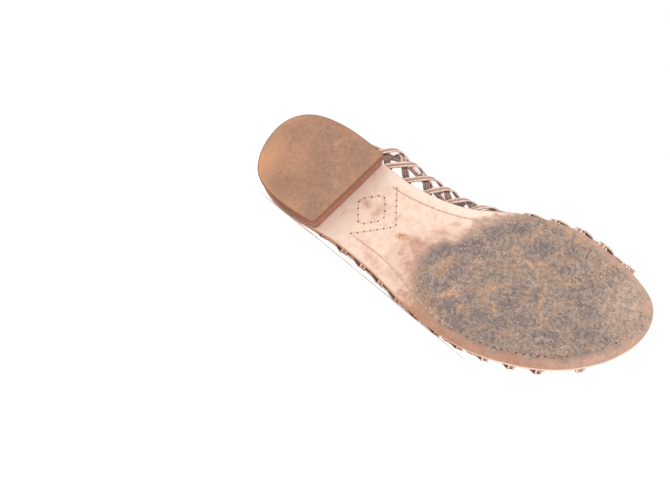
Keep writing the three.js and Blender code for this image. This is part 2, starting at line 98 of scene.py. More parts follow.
def sampled(want, run, points):
    # Each column of the points, read at wanted distances along their line
    return np.stack([np.interp(want, run, column) for column in points.T], -1)


def raised(xy, z):
    # Points of the plane, each with its height
    return np.concatenate([xy, np.broadcast_to(z, len(xy))[:, None]], -1)


def curveThrough(rows, column):
    # A Hermite curve through the rows, whose slope at a row is the harmonic mean of its neighbours'
    at = np.array(rows["at"], float)
    value = np.array(rows[column], float)
    step = np.diff(at)
    rise = np.diff(value) / step
    slope = np.zeros(len(at))
    same = rise[:-1] * rise[1:] > 0
    slope[1:-1][same] = 2 * (rise[:-1] * rise[1:])[same] / (rise[:-1] + rise[1:])[same]

    def along(t):
        p = np.clip(t, at[0], at[-1])
        i = np.clip(np.searchsorted(at, p) - 1, 0, len(at) - 2)
        u = (p - at[i]) / step[i]
        ends = u * (1 - u) ** 2 * step[i] * slope[i] + u * u * (u - 1) * step[i] * slope[i + 1]
        return mix(value[i], value[i + 1], u * u * (3 - 2 * u)) + ends

    return along


ringY = np.array(outerShares + [-share for share in innerShares[-2:0:-1]]) * shoe["ballWidth"]


def outline(turn):
    # x is half the length times one less the cosine of the turn, y a cubic spline round the shares
    turn = np.asarray(turn, float)
    place = np.mod(turn, 360) / 15
    i = np.floor(place).astype(int)
    u = place - i
    a, b, c, d = (ringY[(i + k) % 24] for k in (-1, 0, 1, 2))
    y = 0.5 * (2 * b + (c - a) * u + (2 * a - 5 * b + 4 * c - d) * u ** 2 + (3 * b - a - 3 * c + d) * u ** 3)
    return np.stack([shoe["length"] / 2 * (1 - np.cos(np.radians(turn))), y], -1)


def outlineInset(turn, inset):
    # The outline moved square to itself towards the middle by inset
    along = unit(outline(turn + 1) - outline(turn - 1))
    inward = np.stack([along[..., 1], -along[..., 0]], -1)
    return outline(turn) + inward * np.asarray(inset)[..., None]


riseAlong = curveThrough(profileRows, "rise")
rootAlong = {1: curveThrough(sectionRows, "outerRoot"), -1: curveThrough(sectionRows, "innerRoot")}
outAlong = {1: curveThrough(sectionRows, "outerOut"), -1: curveThrough(sectionRows, "innerOut")}
flankAlong, ridgeAlong, fullAlong = (
    curveThrough(sectionRows, key) for key in ("flankRise", "ridgeRise", "full"))


def under(x):
    # The outsole's underside: the profile's rise, and the toe spring as a square beyond its start
    spring = np.clip((x / shoe["length"] - shoe["springStart"]) / (1 - shoe["springStart"]), 0, 1)
    return shoe["heelHeight"] * riseAlong(x / shoe["length"]) + shoe["toeSpring"] * spring ** 2


def lastedFloor(x):
    return under(x) + shoe["outsole"] + shoe["lastedGap"]


def footbedFloor(x):
    return lastedFloor(x) + shoe["lasted"] + shoe["lastedGap"]


def ridgeY(x):
    # The cage's top line: midway between the edges, drawn to the inner side from the instep on
    turn = np.degrees(np.arccos(1 - 2 * np.clip(x, 1, shoe["length"] - 1) / shoe["length"]))
    middle = (outline(turn)[..., 1] + outline(-turn)[..., 1]) / 2
    return middle - cage["ridgeAside"] * np.clip((x / shoe["length"] - 0.2) / 0.35, 0, 1)


def flankReach(side, at, rise):
    # From the root's reach to the flank's as one less the square of the share still to climb
    t = np.clip((rise - cage["rootRise"]) / (flankAlong(at) - cage["rootRise"]), 0, 1)
    return mix(rootAlong[side](at), outAlong[side](at), 1 - (1 - t) ** 2)


edgeTurns = np.linspace(0, 170, 681)
edgeX = outline(edgeTurns)[:, 0]
edgeRun = {side: runOf(outline(side * edgeTurns)) for side in (1, -1)}


def runAtX(side, x):
    return np.interp(x, edgeX, edgeRun[side])


def xAtRun(side, run):
    return np.interp(run, edgeRun[side], edgeX)


def section(side, run):
    # The cage's half section at each run along an edge: in under the insole, round the sole's edge
    # on a small arc, up the flank, and over to the ridge on a quarter of a squared ellipse
    edge = outline(side * np.interp(run, edgeRun[side], edgeTurns))
    across = np.maximum(edge[:, 0], cage["fanAt"])
    axis = np.stack([across, ridgeY(across)], -1)
    half = np.linalg.norm(edge - axis, axis=-1)[:, None]
    outward = (edge - axis) / half
    at = edge[:, :1] / shoe["length"]
    knuckle = half + rootAlong[side](at)
    flank, ridge, rootRise = flankAlong(at), ridgeAlong(at), cage["rootRise"]
    u = np.linspace(0, 1, 7)[None, :]
    lasted = half - cage["lastedLength"] * np.array([[1, 0.5]])
    arcReach = knuckle - 2.2 * (1 - u) ** 2
    arcRise = rootRise * u ** 2 + 0 * half
    flankSteps = mix(rootRise, flank, np.linspace(0, 1, 13)[None, 1:])
    angle = np.linspace(0, math.pi / 2, 41)[None, 1:]
    archReach = (half + outAlong[side](at)) * np.maximum(np.cos(angle), 0) ** fullAlong(at)
    reach = np.concatenate([lasted, arcReach, half + flankReach(side, at, flankSteps), archReach], 1)
    rise = np.concatenate([0 * lasted, arcRise, flankSteps, flank + (ridge - flank) * np.sin(angle)], 1)
    points = np.stack([
        axis[:, :1] + outward[:, :1] * reach,
        axis[:, 1:] + outward[:, 1:] * reach - cage["lean"] * rise,
        lastedFloor(edge[:, :1]) + shoe["lasted"] / 2 + rise,
    ], -1)
    lengths = np.cumsum(np.linalg.norm(np.diff(points, axis=1), axis=-1), 1)
    lengths = np.concatenate([0 * half, lengths], 1)
    rootPoint = lasted.shape[1] + u.shape[1] - 1
    return points, lengths, lengths[:, rootPoint]


def heightToRidge(side, run):
    points, lengths, root = section(side, np.atleast_1d(np.asarray(run, float)))
    return lengths[:, -1] - root


def onCage(side, run, up):
    # The point of the section at a run, up along it from the root
    out = np.empty(run.shape + (3,))
    for s in (1, -1):
        here = side == s
        if not here.any():
            continue
        points, lengths, root = section(s, run[here])
        v = np.clip(root + up[here], 0, lengths[:, -1])
        i = np.clip((lengths < v[:, None]).sum(1) - 1, 0, lengths.shape[1] - 2)
        r = np.arange(len(i))
        t = (v - lengths[r, i]) / (lengths[r, i + 1] - lengths[r, i])
        out[here] = mix(points[r, i], points[r, i + 1], t[:, None])
    return out


def cagePlaces(side, run, up):
    # Points of the cage with its outward normals, carried round the heel's back where run is negative
    side = np.where(run < 0, -side, side)
    run = np.maximum(np.abs(run), 0.01)
    top = np.where(side == 1, heightToRidge(1, run), heightToRidge(-1, run))
    point = onCage(side, run, np.minimum(up, top))
    along = onCage(side, run + 0.6, up) - onCage(side, np.maximum(run - 0.6, 0.01), up)
    high = np.minimum(up + 0.6, top - 0.05)
    rise = onCage(side, run, high) - onCage(side, run, high - 1.2)
    normal = unit(np.cross(along, rise))
    x = np.maximum(point[:, 0], cage["fanAt"])
    inside = np.stack([x, ridgeY(x), footbedFloor(point[:, 0]) + 18], -1)
    facing = np.sign((normal * (point - inside)).sum(-1, keepdims=True))
    return point, normal * np.where(facing == 0, 1, facing)


def collarUp(side, run):
    # Low round the heel, then a quarter ellipse up to the throat, and no limit in front of it
    turnRun, throatRun = runAtX(side, cage["collarTurnAt"]), runAtX(side, cage["throatAt"])
    low = cage["collarHeight"] + cage["collarDip"] * np.clip(1 - run / turnRun, 0, 1) ** 2
    share = np.clip((run - turnRun) / (throatRun - turnRun), 0, 1)
    high = mix(heightToRidge(side, throatRun)[0], cage["collarHeight"], np.sqrt(1 - share ** 2))
    return np.where(run >= throatRun, np.inf, np.where(run <= turnRun, low, high))


def toeRun(side, up):
    # The open toe's edge, set back towards the ridge as a sine
    start = runAtX(side, cage["toeLineAt"])
    top = heightToRidge(side, start - cage["toeLineSetBack"] / 2)[0]
    return start - cage["toeLineSetBack"] * np.sin(math.pi / 2 * np.clip(up / top, 0, 1))


def inCage(side, run, up):
    side = np.where(run < 0, -side, side)
    here = np.abs(run)
    low = np.where(side == 1, collarUp(1, here), collarUp(-1, here))
    front = np.where(side == 1, toeRun(1, up), toeRun(-1, up))
    return (up < low) & (here < front)


def lyingTurn():
    # Rows are the lying frame's axes in the standing one: the outer side is down
    lean, turn = math.radians(shoe["lean"]), math.radians(shoe["turn"])
    down = np.array([-math.sin(turn) * math.cos(lean), math.cos(turn) * math.cos(lean), math.sin(lean)])
    along = unit(np.array([1.0, 0, 0]) - down * down[0])
    return np.stack([along, np.cross(-down, along), -down])


turnMatrix = lyingTurn()


def lay(points):
    # Turned, then settled on the floor
    return (np.asarray(points, float) @ turnMatrix.T + shoe["settle"]) / 1000


def mottle(x, y, cell, seed):
    # Smooth noise from 0 to 1: random values on a square mesh of that cell, eased between its corners
    table = np.random.default_rng(seed).random((128, 128))
    px, py = x / cell + 40, y / cell + 40
    i, j = np.floor(px).astype(int), np.floor(py).astype(int)
    u, v = px - i, py - j
    u, v = u * u * (3 - 2 * u), v * v * (3 - 2 * v)
    low = mix(table[i % 128, j % 128], table[(i + 1) % 128, j % 128], u)
    high = mix(table[i % 128, (j + 1) % 128], table[(i + 1) % 128, (j + 1) % 128], u)
    return mix(low, high, v)


def blots(x, y, rows):
    # The strongest of some soft ovals, each its strength times exp(-(distance in its own radii)^3)
    best = np.zeros_like(x)
    for cx, cy, long, wide, turn, strong in rows:
        c, s = math.cos(math.radians(turn)), math.sin(math.radians(turn))
        a, b = (x - cx) * c + (y - cy) * s, (y - cy) * c - (x - cx) * s
        best = np.maximum(best, strong * np.exp(-((a / long) ** 2 + (b / wide) ** 2) ** 1.5))
    return best


def linear(hexColour):
    # An sRGB hex colour as linear numbers
    parts = [int(hexColour[i:i + 2], 16) / 255 for i in (1, 3, 5)]
    return tuple(p / 12.92 if p <= 0.04045 else ((p + 0.055) / 1.055) ** 2.4 for p in parts) + (1.0,)


# The material in the making, to which addNode adds
making = {"material": None}


def startMaterial(name):
    making["material"] = bpy.data.materials.new(name)
    making["material"].use_nodes = True


def plug(node, inputs):
    # Each input is given its value, or is linked where the value is another node's output
    for name, value in inputs.items():
        if isinstance(value, bpy.types.NodeSocket):
            making["material"].node_tree.links.new(value, node.inputs[name])
        else:
            node.inputs[name].default_value = value


def addNode(kind, inputs, out=0, **settings):
    # Adds one node with its settings and inputs, and gives back one of its outputs
    node = making["material"].node_tree.nodes.new("ShaderNode" + kind)
    for name, value in settings.items():
        setattr(node, name, value)
    plug(node, inputs)
    return node.outputs[out]


def strength(*factors):
    # The product of its factors. Each is a number, an output, the name of a value kept on the mesh,
    # or a row (factor, low, high, at low, at high) that ramps smoothly, from 0 to 1 where it has no ends
    product = None
    for factor in factors:
        if isinstance(factor, str):
            factor = addNode("Attribute", {}, "Fac", attribute_name=factor)
        elif isinstance(factor, tuple):
            source, low, high, *ends = factor
            atLow, atHigh = ends or (0, 1)
            factor = addNode("MapRange", {
                "Value": strength(source), "From Min": low, "From Max": high,
                "To Min": atLow, "To Max": atHigh,
            }, interpolation_type="SMOOTHSTEP")
        if product is None:
            product = factor
        else:
            product = addNode("Math", {0: product, 1: factor}, operation="MULTIPLY")
    return product


def layered(colour, layers):
    # Colours laid over the first one. A row is a colour, and the factors of its strength
    for over, *factors in layers:
        first, second = (linear(tone) if isinstance(tone, str) else tone for tone in (colour, over))
        colour = addNode("Mix", {0: strength(*factors), 6: first, 7: second}, 2, data_type="RGBA")
    return colour


def standingGrains(*rows):
    # Object coordinates turned back to the standing shoe's millimetres, so that patterns keep real
    # sizes, and noise on them: a row is the size of its features, its detail and its roughness
    metres = addNode("TexCoord", {}, "Object")
    scaled = addNode("VectorMath", {0: metres, 1: (1000, 1000, 1000)}, operation="MULTIPLY")
    place = addNode("Mapping", {
        "Vector": scaled, "Location": (-turnMatrix.T @ np.array(shoe["settle"])).tolist(),
        "Rotation": Matrix(turnMatrix.T.tolist()).to_euler("XYZ"),
    }, vector_type="POINT")
    return [place] + [addNode("TexNoise", {
        "Vector": place, "Scale": 1 / cell, "Detail": detail, "Roughness": roughness,
    }, "Fac") for cell, detail, roughness in rows]


def finishMaterial(sockets, height, distance, steepness):
    # Plugs the shader's own sockets and a bump of that distance in metres
    normal = addNode("Bump", {"Height": height, "Distance": distance, "Strength": steepness})
    shader = making["material"].node_tree.nodes["Principled BSDF"]
    plug(shader, {"Normal": normal, **sockets})
    return making["material"]


def gridFaces(rows, columns, closeRows=False, start=0):
    # Quads between neighbouring points of a grid whose columns close into a ring
    r, c = np.meshgrid(np.arange(rows if closeRows else rows - 1), np.arange(columns), indexing="ij")
    down, right = (r + 1) % rows, (c + 1) % columns
    quads = [r * columns + c, r * columns + right, down * columns + right, down * columns + c]
    return np.stack(quads, -1).reshape(-1, 4) + start


def makePiece(name, points, faces, finishes, node, faceFinish=None, values=None, sharp=None, merge=0.0):
    # A mesh from standing points in millimetres, laid down, with its faces outwards
    mesh = bpy.data.meshes.new(name)
    mesh.from_pydata(lay(points).tolist(), [], faces)
    for finish in finishes:
        mesh.materials.append(finish)
    if faceFinish is not None:
        mesh.polygons.foreach_set("material_index", np.asarray(faceFinish, np.int32))
    for key, value in (values or {}).items():
        layer = mesh.attributes.new(key, "FLOAT", "POINT")
        layer.data.foreach_set("value", np.asarray(value, np.float32).ravel())
    edit = bmesh.new()
    edit.from_mesh(mesh)
    if merge:
        bmesh.ops.remove_doubles(edit, verts=edit.verts, dist=merge / 1000)
    if edit.calc_volume(signed=True) < 0:
        bmesh.ops.reverse_faces(edit, faces=edit.faces)
    edit.to_mesh(mesh)
    edit.free()
    mesh.shade_smooth()
    if sharp:
        mesh.set_sharp_from_angle(angle=math.radians(sharp))
    piece = bpy.data.objects.new(name, mesh)
    bpy.context.scene.collection.objects.link(piece)
    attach(piece, "root")
    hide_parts(node)


def joinGrids(grids, closed=False):
    # Grids of rings (n, m, 3) in one point list, each a tube that closes on itself or has flat end caps
    points, faces, start = [], [], 0
    for grid in grids:
        rows, columns = grid.shape[:2]
        points.append(grid.reshape(-1, 3))
        faces += gridFaces(rows, columns, closed, start).tolist()
        start += rows * columns
    if not closed:
        start = 0
        for grid in grids:
            rows, columns = grid.shape[:2]
            faces.append(list(range(start + columns - 1, start - 1, -1)))
            faces.append(list(range(start + (rows - 1) * columns, start + rows * columns)))
            start += rows * columns
    return np.concatenate(points), faces


def carry(path, outward, profile, thick=1.0, closed=False):
    # Each profile point (across, out) goes to path + across * sideways + out * thick * face, where
    # sideways is square to the path and the outward direction, and face is square to both
    if closed:
        ahead = unit(np.roll(path, -1, 0) - np.roll(path, 1, 0))
    else:
        ahead = unit(np.gradient(path, axis=0))
    sideways = unit(np.cross(outward, ahead))
    face = np.cross(ahead, sideways)
    out = profile[None, :, 1:] * np.broadcast_to(thick, len(path))[:, None, None]
    return path[:, None] + profile[None, :, :1] * sideways[:, None] + out * face[:, None]


def evenly(path, step, closed=False):
    # The path's points at even distances, and those distances
    ring = np.vstack([path, path[:1]]) if closed else path
    run = runOf(ring)
    count = max(3, round(run[-1] / step))
    want = np.linspace(0, run[-1], count + 1)[:-1 if closed else None]
    return sampled(want, run, ring), want


def softened(loop, times):
    # Each point moved to a quarter, a half and a quarter of itself and its neighbours
    for _ in range(times):
        loop = 0.25 * np.roll(loop, 1, 0) + 0.5 * loop + 0.25 * np.roll(loop, -1, 0)
    return loop


def spineOf(ring):
    # Midway between the two sides of a ring round the sole
    return (ring + ring[-np.arange(len(ring))]) / 2


# Sole leather: vegetable-tanned hide, rolled smooth. It is pale and satin where it never met the
# ground, and ground open, grey-brown and rough under the ball and toes.
def makeSoleLeather():
    startMaterial("vegetable_tanned_sole_leather")
    place, broad, medium, patchy, flecked, fine, grit = standingGrains(
        (20, 3, 0.6), (5, 6, 0.68), (9, 9, 0.78), (2.8, 7, 0.8), (1.8, 6, 0.85), (0.8, 2, 0.6))
    along, aside = (addNode("SeparateXYZ", {0: place}, axis) for axis in ("X", "Y"))
    worn, rim = strength("worn"), strength("rim")
    # Lighter near the heel's breast, a painted light that cancels the shade the heel casts on the waist
    # there, and lighter towards the inner side
    lightNearBreastAndInner = addNode("Math", {
        0: strength((along, 60, 86, 0.5, 0)), 1: strength((aside, -19, -8, 0.6, 0))}, operation="MAXIMUM")
    pale = layered("#ebd1be", [
        ("#dfb7a3", (medium, 0.42, 0.66, 0, 0.7)),
        ("#e2b9a1", (broad, 0.48, 0.7, 0, 0.3)),
        ("#d6a992", (flecked, 0.5, 0.62, 0, 0.35)),
        ("#f3dfd0", lightNearBreastAndInner),
        ("#cb9d86", (patchy, 0.54, 0.68, 0, 0.4)),
        ("#b98b79", "soil", (patchy, 0.4, 0.6, 0.45, 1)),
        ("#b4714f", "stain", (flecked, 0.4, 0.58, 0.55, 1.2)),
    ])
    # The worn ground: open grain, dark packed islands, ochre worn veins, light and dark fibres and grit
    unpacked = addNode("Math", {0: 0.8, 1: strength("dark")}, operation="SUBTRACT")
    ground = layered("#7b6b64", [
        ("#a99386", (flecked, 0.42, 0.6)),
        ("#a8856b", (strength((patchy, 0.44, 0.6), unpacked), 0, 0.7, 0, 0.6)),
        ("#6b6161", "dark", (flecked, 0.44, 0.64, 0.85, 0.4)),
        ("#c49977", "ochre", (flecked, 0.4, 0.56, 0.3, 1)),
        ("#c6aa98", "light", (flecked, 0.42, 0.58, 0.25, 0.85)),
        ("#c1aa99", (fine, 0.5, 0.66, 0, 0.55)),
        ("#4d3f38", (fine, 0.35, 0.5, 0.6, 0)),
        ("#e2d6cb", (grit, 0.64, 0.7, 0, 0.85)),
        ("#3f322e", (grit, 0.26, 0.33, 0.7, 0)),
    ])
    # The field's front is ragged: patches and flecks run ahead of it or lag behind
    patch, fleck = (addNode("Math", {0: grain, 1: 0.5}, operation="SUBTRACT") for grain in (patchy, flecked))
    ahead = addNode("Math", {0: fleck, 1: 1.5, 2: patch}, operation="MULTIPLY_ADD")
    ragged = addNode("Math", {0: worn, 1: ahead}, operation="ADD")
    reached = strength((worn, 0.01, 0.12))
    opened = strength((ragged, 0.2, 0.95), reached)
    # The rim outside the channel, browner on the outer side and greyer towards the toe
    greyer = addNode("Math", {
        0: strength((along, 190, 235, 0, 0.75)), 1: strength((aside, -12, 6, 0.7, 0))}, operation="MAXIMUM")
    rimTone = layered("#cc9a7e", [
        ("#b08068", (patchy, 0.4, 0.6)),
        ("#cda895", greyer),
        ("#9c7b6b", (flecked, 0.47, 0.6, 0, 0.65)),
        ("#8b6c5e", (fine, 0.5, 0.64, 0, 0.55)),
    ])
    crept = addNode("Math", {0: patch, 1: 2.2, 2: rim}, operation="MULTIPLY_ADD")
    wallTone = layered("#e0a478", [("#c98c62", (medium, 0.3, 0.7)), ("#eac6b2", (along, 120, 190))])
    colour = layered(pale, [
        ("#b9937f", (ragged, 0.02, 0.5, 0, 0.85), reached),
        (ground, opened),
        (rimTone, (crept, 0.1, 0.85, 0, 0.9), (rim, 0, 0.1)),
        (wallTone, "wall"),
        ("#5d3b2d", "line", 0.8),
    ])
    height = addNode("Math", {0: strength(fine, 0.6), 1: strength(grit, 0.4)}, operation="ADD")
    return finishMaterial({
        "Base Color": colour, "Roughness": strength((opened, 0, 1, 0.5, 0.8)), "IOR": 1.5,
        "Specular IOR Level": 0.3,
    }, height, 0.0005, strength((opened, 0, 1, 0.1, 0.8)))


# Wearing layer: pressed brown leatherboard and rubber, matte, scuffed to a lighter tan at its edge
def makeLiftFinish():
    startMaterial("pressed_heel_rubber")
    place, broad, medium, fine = standingGrains((16, 3, 0.55), (5, 8, 0.8), (2, 6, 0.85))
    colour = layered("#9a735c", [
        ("#a87d63", (broad, 0.35, 0.65)),
        ("#80685a", (medium, 0.42, 0.6, 0, 0.5)),
        ("#b88b6e", (fine, 0.48, 0.66, 0, 0.5)),
        ("#785d4f", (fine, 0.36, 0.5, 0.45, 0)),
        ("#c8936d", "tan", 0.85),
        ("#c3a38f", "mark"),
        ("#84503d", "line"),
    ])
    return finishMaterial({
        "Base Color": colour, "Roughness": 0.6, "IOR": 1.52, "Specular IOR Level": 0.3}, fine, 0.0003, 0.35)


# Heel stack: leather boards glued flat and stained, so thin lines run level round the sides
def makeStackFinish():
    startMaterial("stained_stacked_leather")
    board = 3.3
    place, medium, fine = standingGrains((4, 3, 0.55), (0.8, 3, 0.55))
    boards = addNode("Math", {0: addNode("SeparateXYZ", {0: place}, "Z"), 1: board}, operation="DIVIDE")
    within = addNode("Math", {0: boards}, operation="FRACT")
    inBoard = addNode("Math", {0: within, 1: 0.5}, operation="SUBTRACT")
    seam = strength((addNode("Math", {0: inBoard}, operation="ABSOLUTE"), 0.4, 0.47))
    colour = layered("#95573f", [("#a5644a", (medium, 0.3, 0.7)), ("#4a2a20", seam, 0.2)])
    height = addNode("Math", {0: strength(fine, 0.4), 1: strength(seam, 0.3)}, operation="SUBTRACT")
    return finishMaterial({
        "Base Color": colour, "Roughness": 0.42, "IOR": 1.5, "Coat Weight": 0.2, "Coat Roughness": 0.3,
    }, height, 0.0003, 0.5)


# Insole: smooth tan lining leather, polished and darkened where the foot has been
def makeInsoleLeather():
    startMaterial("smooth_tan_lining_leather")
    place, broad, medium, pores = standingGrains((18, 3, 0.55), (2.5, 4, 0.55), (0.7, 2, 0.55))
    colour = layered("#c98a58", [
        ("#b97a4c", (broad, 0.3, 0.7)), ("#8c5a3c", "trodden", 0.6), ("#6a3d26", "line")])
    height = addNode("Math", {0: medium, 1: pores}, operation="ADD")
    return finishMaterial({
        "Base Color": colour, "Roughness": 0.42, "IOR": 1.5, "Coat Weight": 0.1, "Coat Roughness": 0.35,
    }, height, 0.0003, 0.3)


# Strap face: rose gold foil on thin leather, with a painted highlight on the rolled edges and painted shade
# in the stitched middle.
def makeFoilLeather():
    startMaterial("rose_gold_foil_leather")
    place, medium, fine = standingGrains((3, 4, 0.6), (0.6, 3, 0.7))
    across = addNode("Math", {0: strength("across")}, operation="ABSOLUTE")
    middle = strength((across, 0.9, 1.35, 1, 0))
    # The rolled edges' near white is a painted highlight, and the middle's darker colour a painted shade; the
    # middle is also rougher and less metallic
    colour = layered("#ecd3c6", [
        ("#d6b2a0", (medium, 0.3, 0.7)),
        ("#9b6f61", middle, 0.75),
        ("#8b5f50", (fine, 0.6, 0.72, 0, 0.6)),
        # painted shade on the straps that pass under others, near their roots
        ("#553b35", "rootShade", 0.92),
    ])
    gloss = strength((middle, 0, 1, 0.27, 0.45))
    rough = addNode("Math", {0: gloss, 1: strength(fine, 0.12)}, operation="ADD")
    height = addNode("Math", {0: medium, 1: fine}, operation="ADD")
    return finishMaterial({
        "Base Color": colour, "Metallic": strength((middle, 0, 1, 0.75, 0.5)), "Roughness": rough,
    }, height, 0.0003, 0.4)


# Linings, thread and dark holes: one colour broken by noise, with its own gloss. Thread and holes
# fade into the leather's colour, and thread goes chalky where the ground has rubbed it.
def makePlainFinish(name, lightHex, darkHex, cell, roughness, fadeHex=None):
    startMaterial(name)
    place, grain, fine = standingGrains((cell, 4, 0.6), (cell / 4, 3, 0.55))
    layers = [(darkHex, (grain, 0.3, 0.7))]
    if fadeHex:
        layers += [(fadeHex, "faint"), ("#c3b8b0", "chalky")]
    height = addNode("Math", {0: grain, 1: fine}, operation="ADD")
    return finishMaterial({
        "Base Color": layered(lightHex, layers), "Roughness": roughness, "IOR": 1.5}, height, 0.0002, 0.4)


soleLeather = makeSoleLeather()
liftFinish = makeLiftFinish()
stackFinish = makeStackFinish()
insoleLeather = makeInsoleLeather()
foilLeather = makeFoilLeather()
strapLining = makePlainFinish("brown_split_lining", "#6b4a42", "#4c332e", 1.6, 0.6)
lastedEdge = makePlainFinish("burnished_board_edge", "#6a4334", "#4a2c22", 2.0, 0.55)
soleThread = makePlainFinish("waxed_linen_thread", "#6f5040", "#5a3e30", 0.8, 0.6, "#d3ac94")
strapThread = makePlainFinish("polyester_stitch_thread", "#d9b9a4", "#b08c78", 0.6, 0.5)
holeShade = makePlainFinish("awl_hole_shadow", "#4a352b", "#33231c", 0.8, 0.9, "#d3ac95")
print("materials made")

# The outsole's underside: the stitched channel, the stitched signs and where it is worn
soleWork = {
    "turns": 720, "innerRings": 56, "channelDepth": 0.22, "channelFoot": 1.6,
    "outerStart": 63.6, "innerStart": 69.2,
    # Inset of the channel from the edge, mm, at shares of the length
    "outerInset": {"at": [0.2, 0.28, 0.36, 0.45, 0.55, 0.7, 0.85, 1],
                   "inset": [9.5, 9.5, 10.2, 9, 7, 7, 7.4, 7]},
    "innerInset": {"at": [0.2, 0.32, 0.42, 0.52, 0.7, 0.85, 1], "inset": [7.7, 7.7, 7, 6.4, 6.6, 7, 7]},
    # Across the channel: distance from its middle, and share of its depth
    "groove": [(1.1, 0), (0.7, 0.3), (0.35, 0.85), (0, 1), (-0.35, 0.85), (-0.7, 0.3), (-1.1, 0)],
    # The line between the outer and inner sides of the forepart, y at each x
    "sidesX": [100, 150, 200, 250], "sidesY": [12, 12, 5, -8],
    # The curved front of the worn field, x at each y
    "frontY": [-40, -27.6, -24.5, -18.4, -11.8, -4.1, 2.4, 6.4, 13.4, 19.3, 25.3, 30.8, 37, 41, 55],
    "frontX": [160, 153, 150, 144, 138, 135, 130, 122.5, 116, 113, 116, 115, 116, 121, 130],
}
# Marks on the underside as soft ovals: x, y, half length, half width, turn in degrees, strength
darkMarks = [
    (160.1, -20.4, 10.3, 4.4, -11, 1), (147.3, -11.5, 6.2, 4.4, -26, 0.9), (135.9, 2.7, 9.4, 5, -47, 1),
    (123.3, 12.3, 7.3, 5.6, -25, 0.9), (118.8, 21.7, 4.2, 4.5, -25, 0.6), (138.8, 17.3, 6.2, 4.9, -26, 0.8),
    (145.9, 4, 6.2, 3.3, -26, 0.7), (175.2, -15.9, 9.3, 5.4, -6, 1), (190.7, -21.5, 6.2, 4.3, 4, 0.7),
    (143.4, 39.3, 7.2, 4.8, -16, 1), (152.5, 45.6, 8.2, 5.3, -7, 0.8), (162.3, 35.6, 6.1, 4.2, -28, 0.9),
    (172.6, 24.3, 5.6, 5.3, -28, 0.9), (174.6, 14.8, 4.1, 5.3, -27, 0.8), (173.8, 35.6, 6.1, 4.2, -28, 0.8),
    (134.1, 30.5, 5.2, 3.1, -26, 0.9), (190.1, -9, 6.1, 3.2, -7, 0.6), (212.4, -7.6, 6.1, 4.7, -29, 0.7),
    (211.7, 4.8, 6.1, 6.3, -29, 0.7), (201.7, 0.6, 5.6, 4.2, -28, 0.6), (186.4, 11.1, 3.1, 6.4, -28, 1),
    (200.9, 30.8, 9.1, 4.2, -18, 0.8), (205.6, 17.6, 8.1, 5.2, -29, 0.6), (219.5, 18.3, 9.1, 5.2, -29, 0.7),
    (225.9, 28.9, 9.2, 3.1, -37, 0.6), (233.8, 15, 6.2, 4, -49, 0.5), (185, 28.6, 6.1, 5.3, -28, 0.7),
    (151.9, 29, 4.1, 3, -27, 0.8), (159.3, 11.9, 6.2, 2.7, -17, 0.6), (171.8, 45, 7.1, 3.7, -12, 0.7),
    (220.2, 6, 6.1, 5.2, -29, 0.5),
]
ochreMarks = [
    (141, 32.6, 8.7, 2.2, -39, 1), (129.8, 17.9, 5.2, 3.9, -36, 0.7), (146.1, 8.8, 3.1, 2.7, -26, 0.7),
    (160, 20, 8.8, 1.7, -48, 0.8), (150.3, 37, 2.3, 2.2, -27, 0.8), (167.2, -17.9, 4.3, 2.3, -79, 0.9),
    (169.2, -23.2, 3.1, 2.8, -27, 0.8), (173.2, -3.8, 7.2, 1.5, -6, 0.9), (179.5, -7.1, 7.2, 1.5, -38, 0.8),
    (184.8, -17.2, 7.4, 1.3, -64, 0.8), (185, -30.7, 2.6, 3.5, -27, 0.8), (191.5, 15.6, 12.1, 1.5, 59, 0.9),
    (168.1, 29, 4.2, 1.4, 53, 0.8), (198.9, -2.7, 3.3, 1.1, -28, 0.6), (167.6, 12.4, 4.6, 1.3, -38, 0.6),
    (163.3, -7.3, 3.3, 1.9, 54, 0.6), (182, 0.1, 4.3, 1.2, 54, 0.7), (142.6, 15.4, 2.1, 1.3, -26, 0.6),
    (138, 46.8, 5.4, 1.9, 33, 0.6), (193.3, -30.2, 3.1, 4.3, -7, 0.6), (188.5, 3.9, 2, 3.7, -28, 0.7),
]
lightMarks = [
    (233.4, -13.4, 9.2, 16.6, -30, 0.9), (228.2, -0.8, 9, 8, -29, 0.7), (182.4, 6.5, 1.6, 1.7, -27, 1),
    (199.9, 15.3, 2, 1.3, -28, 1), (150.9, -18.1, 1, 0.9, -26, 0.9), (203.1, -19.5, 1.2, 1.3, -28, 0.9),
    (199.6, 32.7, 4, 1.5, -28, 0.6), (201.8, -15.2, 1, 1.5, -28, 0.7), (240, 6, 8, 8, 0, 0.5),
]
stainMarks = [
    (68.4, 2.3, 4, 2.2, 35, 0.5), (77.3, 5, 5, 3.2, -50, 0.5), (63.9, 2, 1.5, 1.2, 0, 0.5),
    (98.8, 12.9, 5.5, 2.3, -6, 0.85), (103.3, 22.9, 1.8, 1.1, -10, 1), (96.6, 28.5, 1.1, 0.9, 0, 0.6),
    (107.5, 12.6, 5, 2.4, 5, 0.55), (89.3, 5, 1.5, 3, 20, 0.35), (81.3, 0.7, 1.2, 2.5, 0, 0.3),
    (58.3, 14, 1.2, 2, 0, 0.3), (76.7, 9.1, 2.5, 1, 20, 0.3), (78, 3, 6, 4, -35, 0.35),
    (70, 3, 5, 3, 30, 0.3), (106, 14.9, 2.5, 3, 0, 0.5), (102.6, 18.5, 2.2, 4, 0, 0.35),
    (112.2, 17.3, 3.2, 5.7, -23, 0.45), (109.7, 27, 6.9, 3.1, 34, 0.4), (116.7, 28.9, 4.2, 5.6, -25, 0.4),
    (124, -6.6, 3.2, 1.4, -24, 0.35), (120.9, 1, 6.3, 1.6, -19, 0.4), (90, 33, 9, 2.5, 22, 0.35),
    (84, 28, 8, 1.5, 22, 0.2),
]
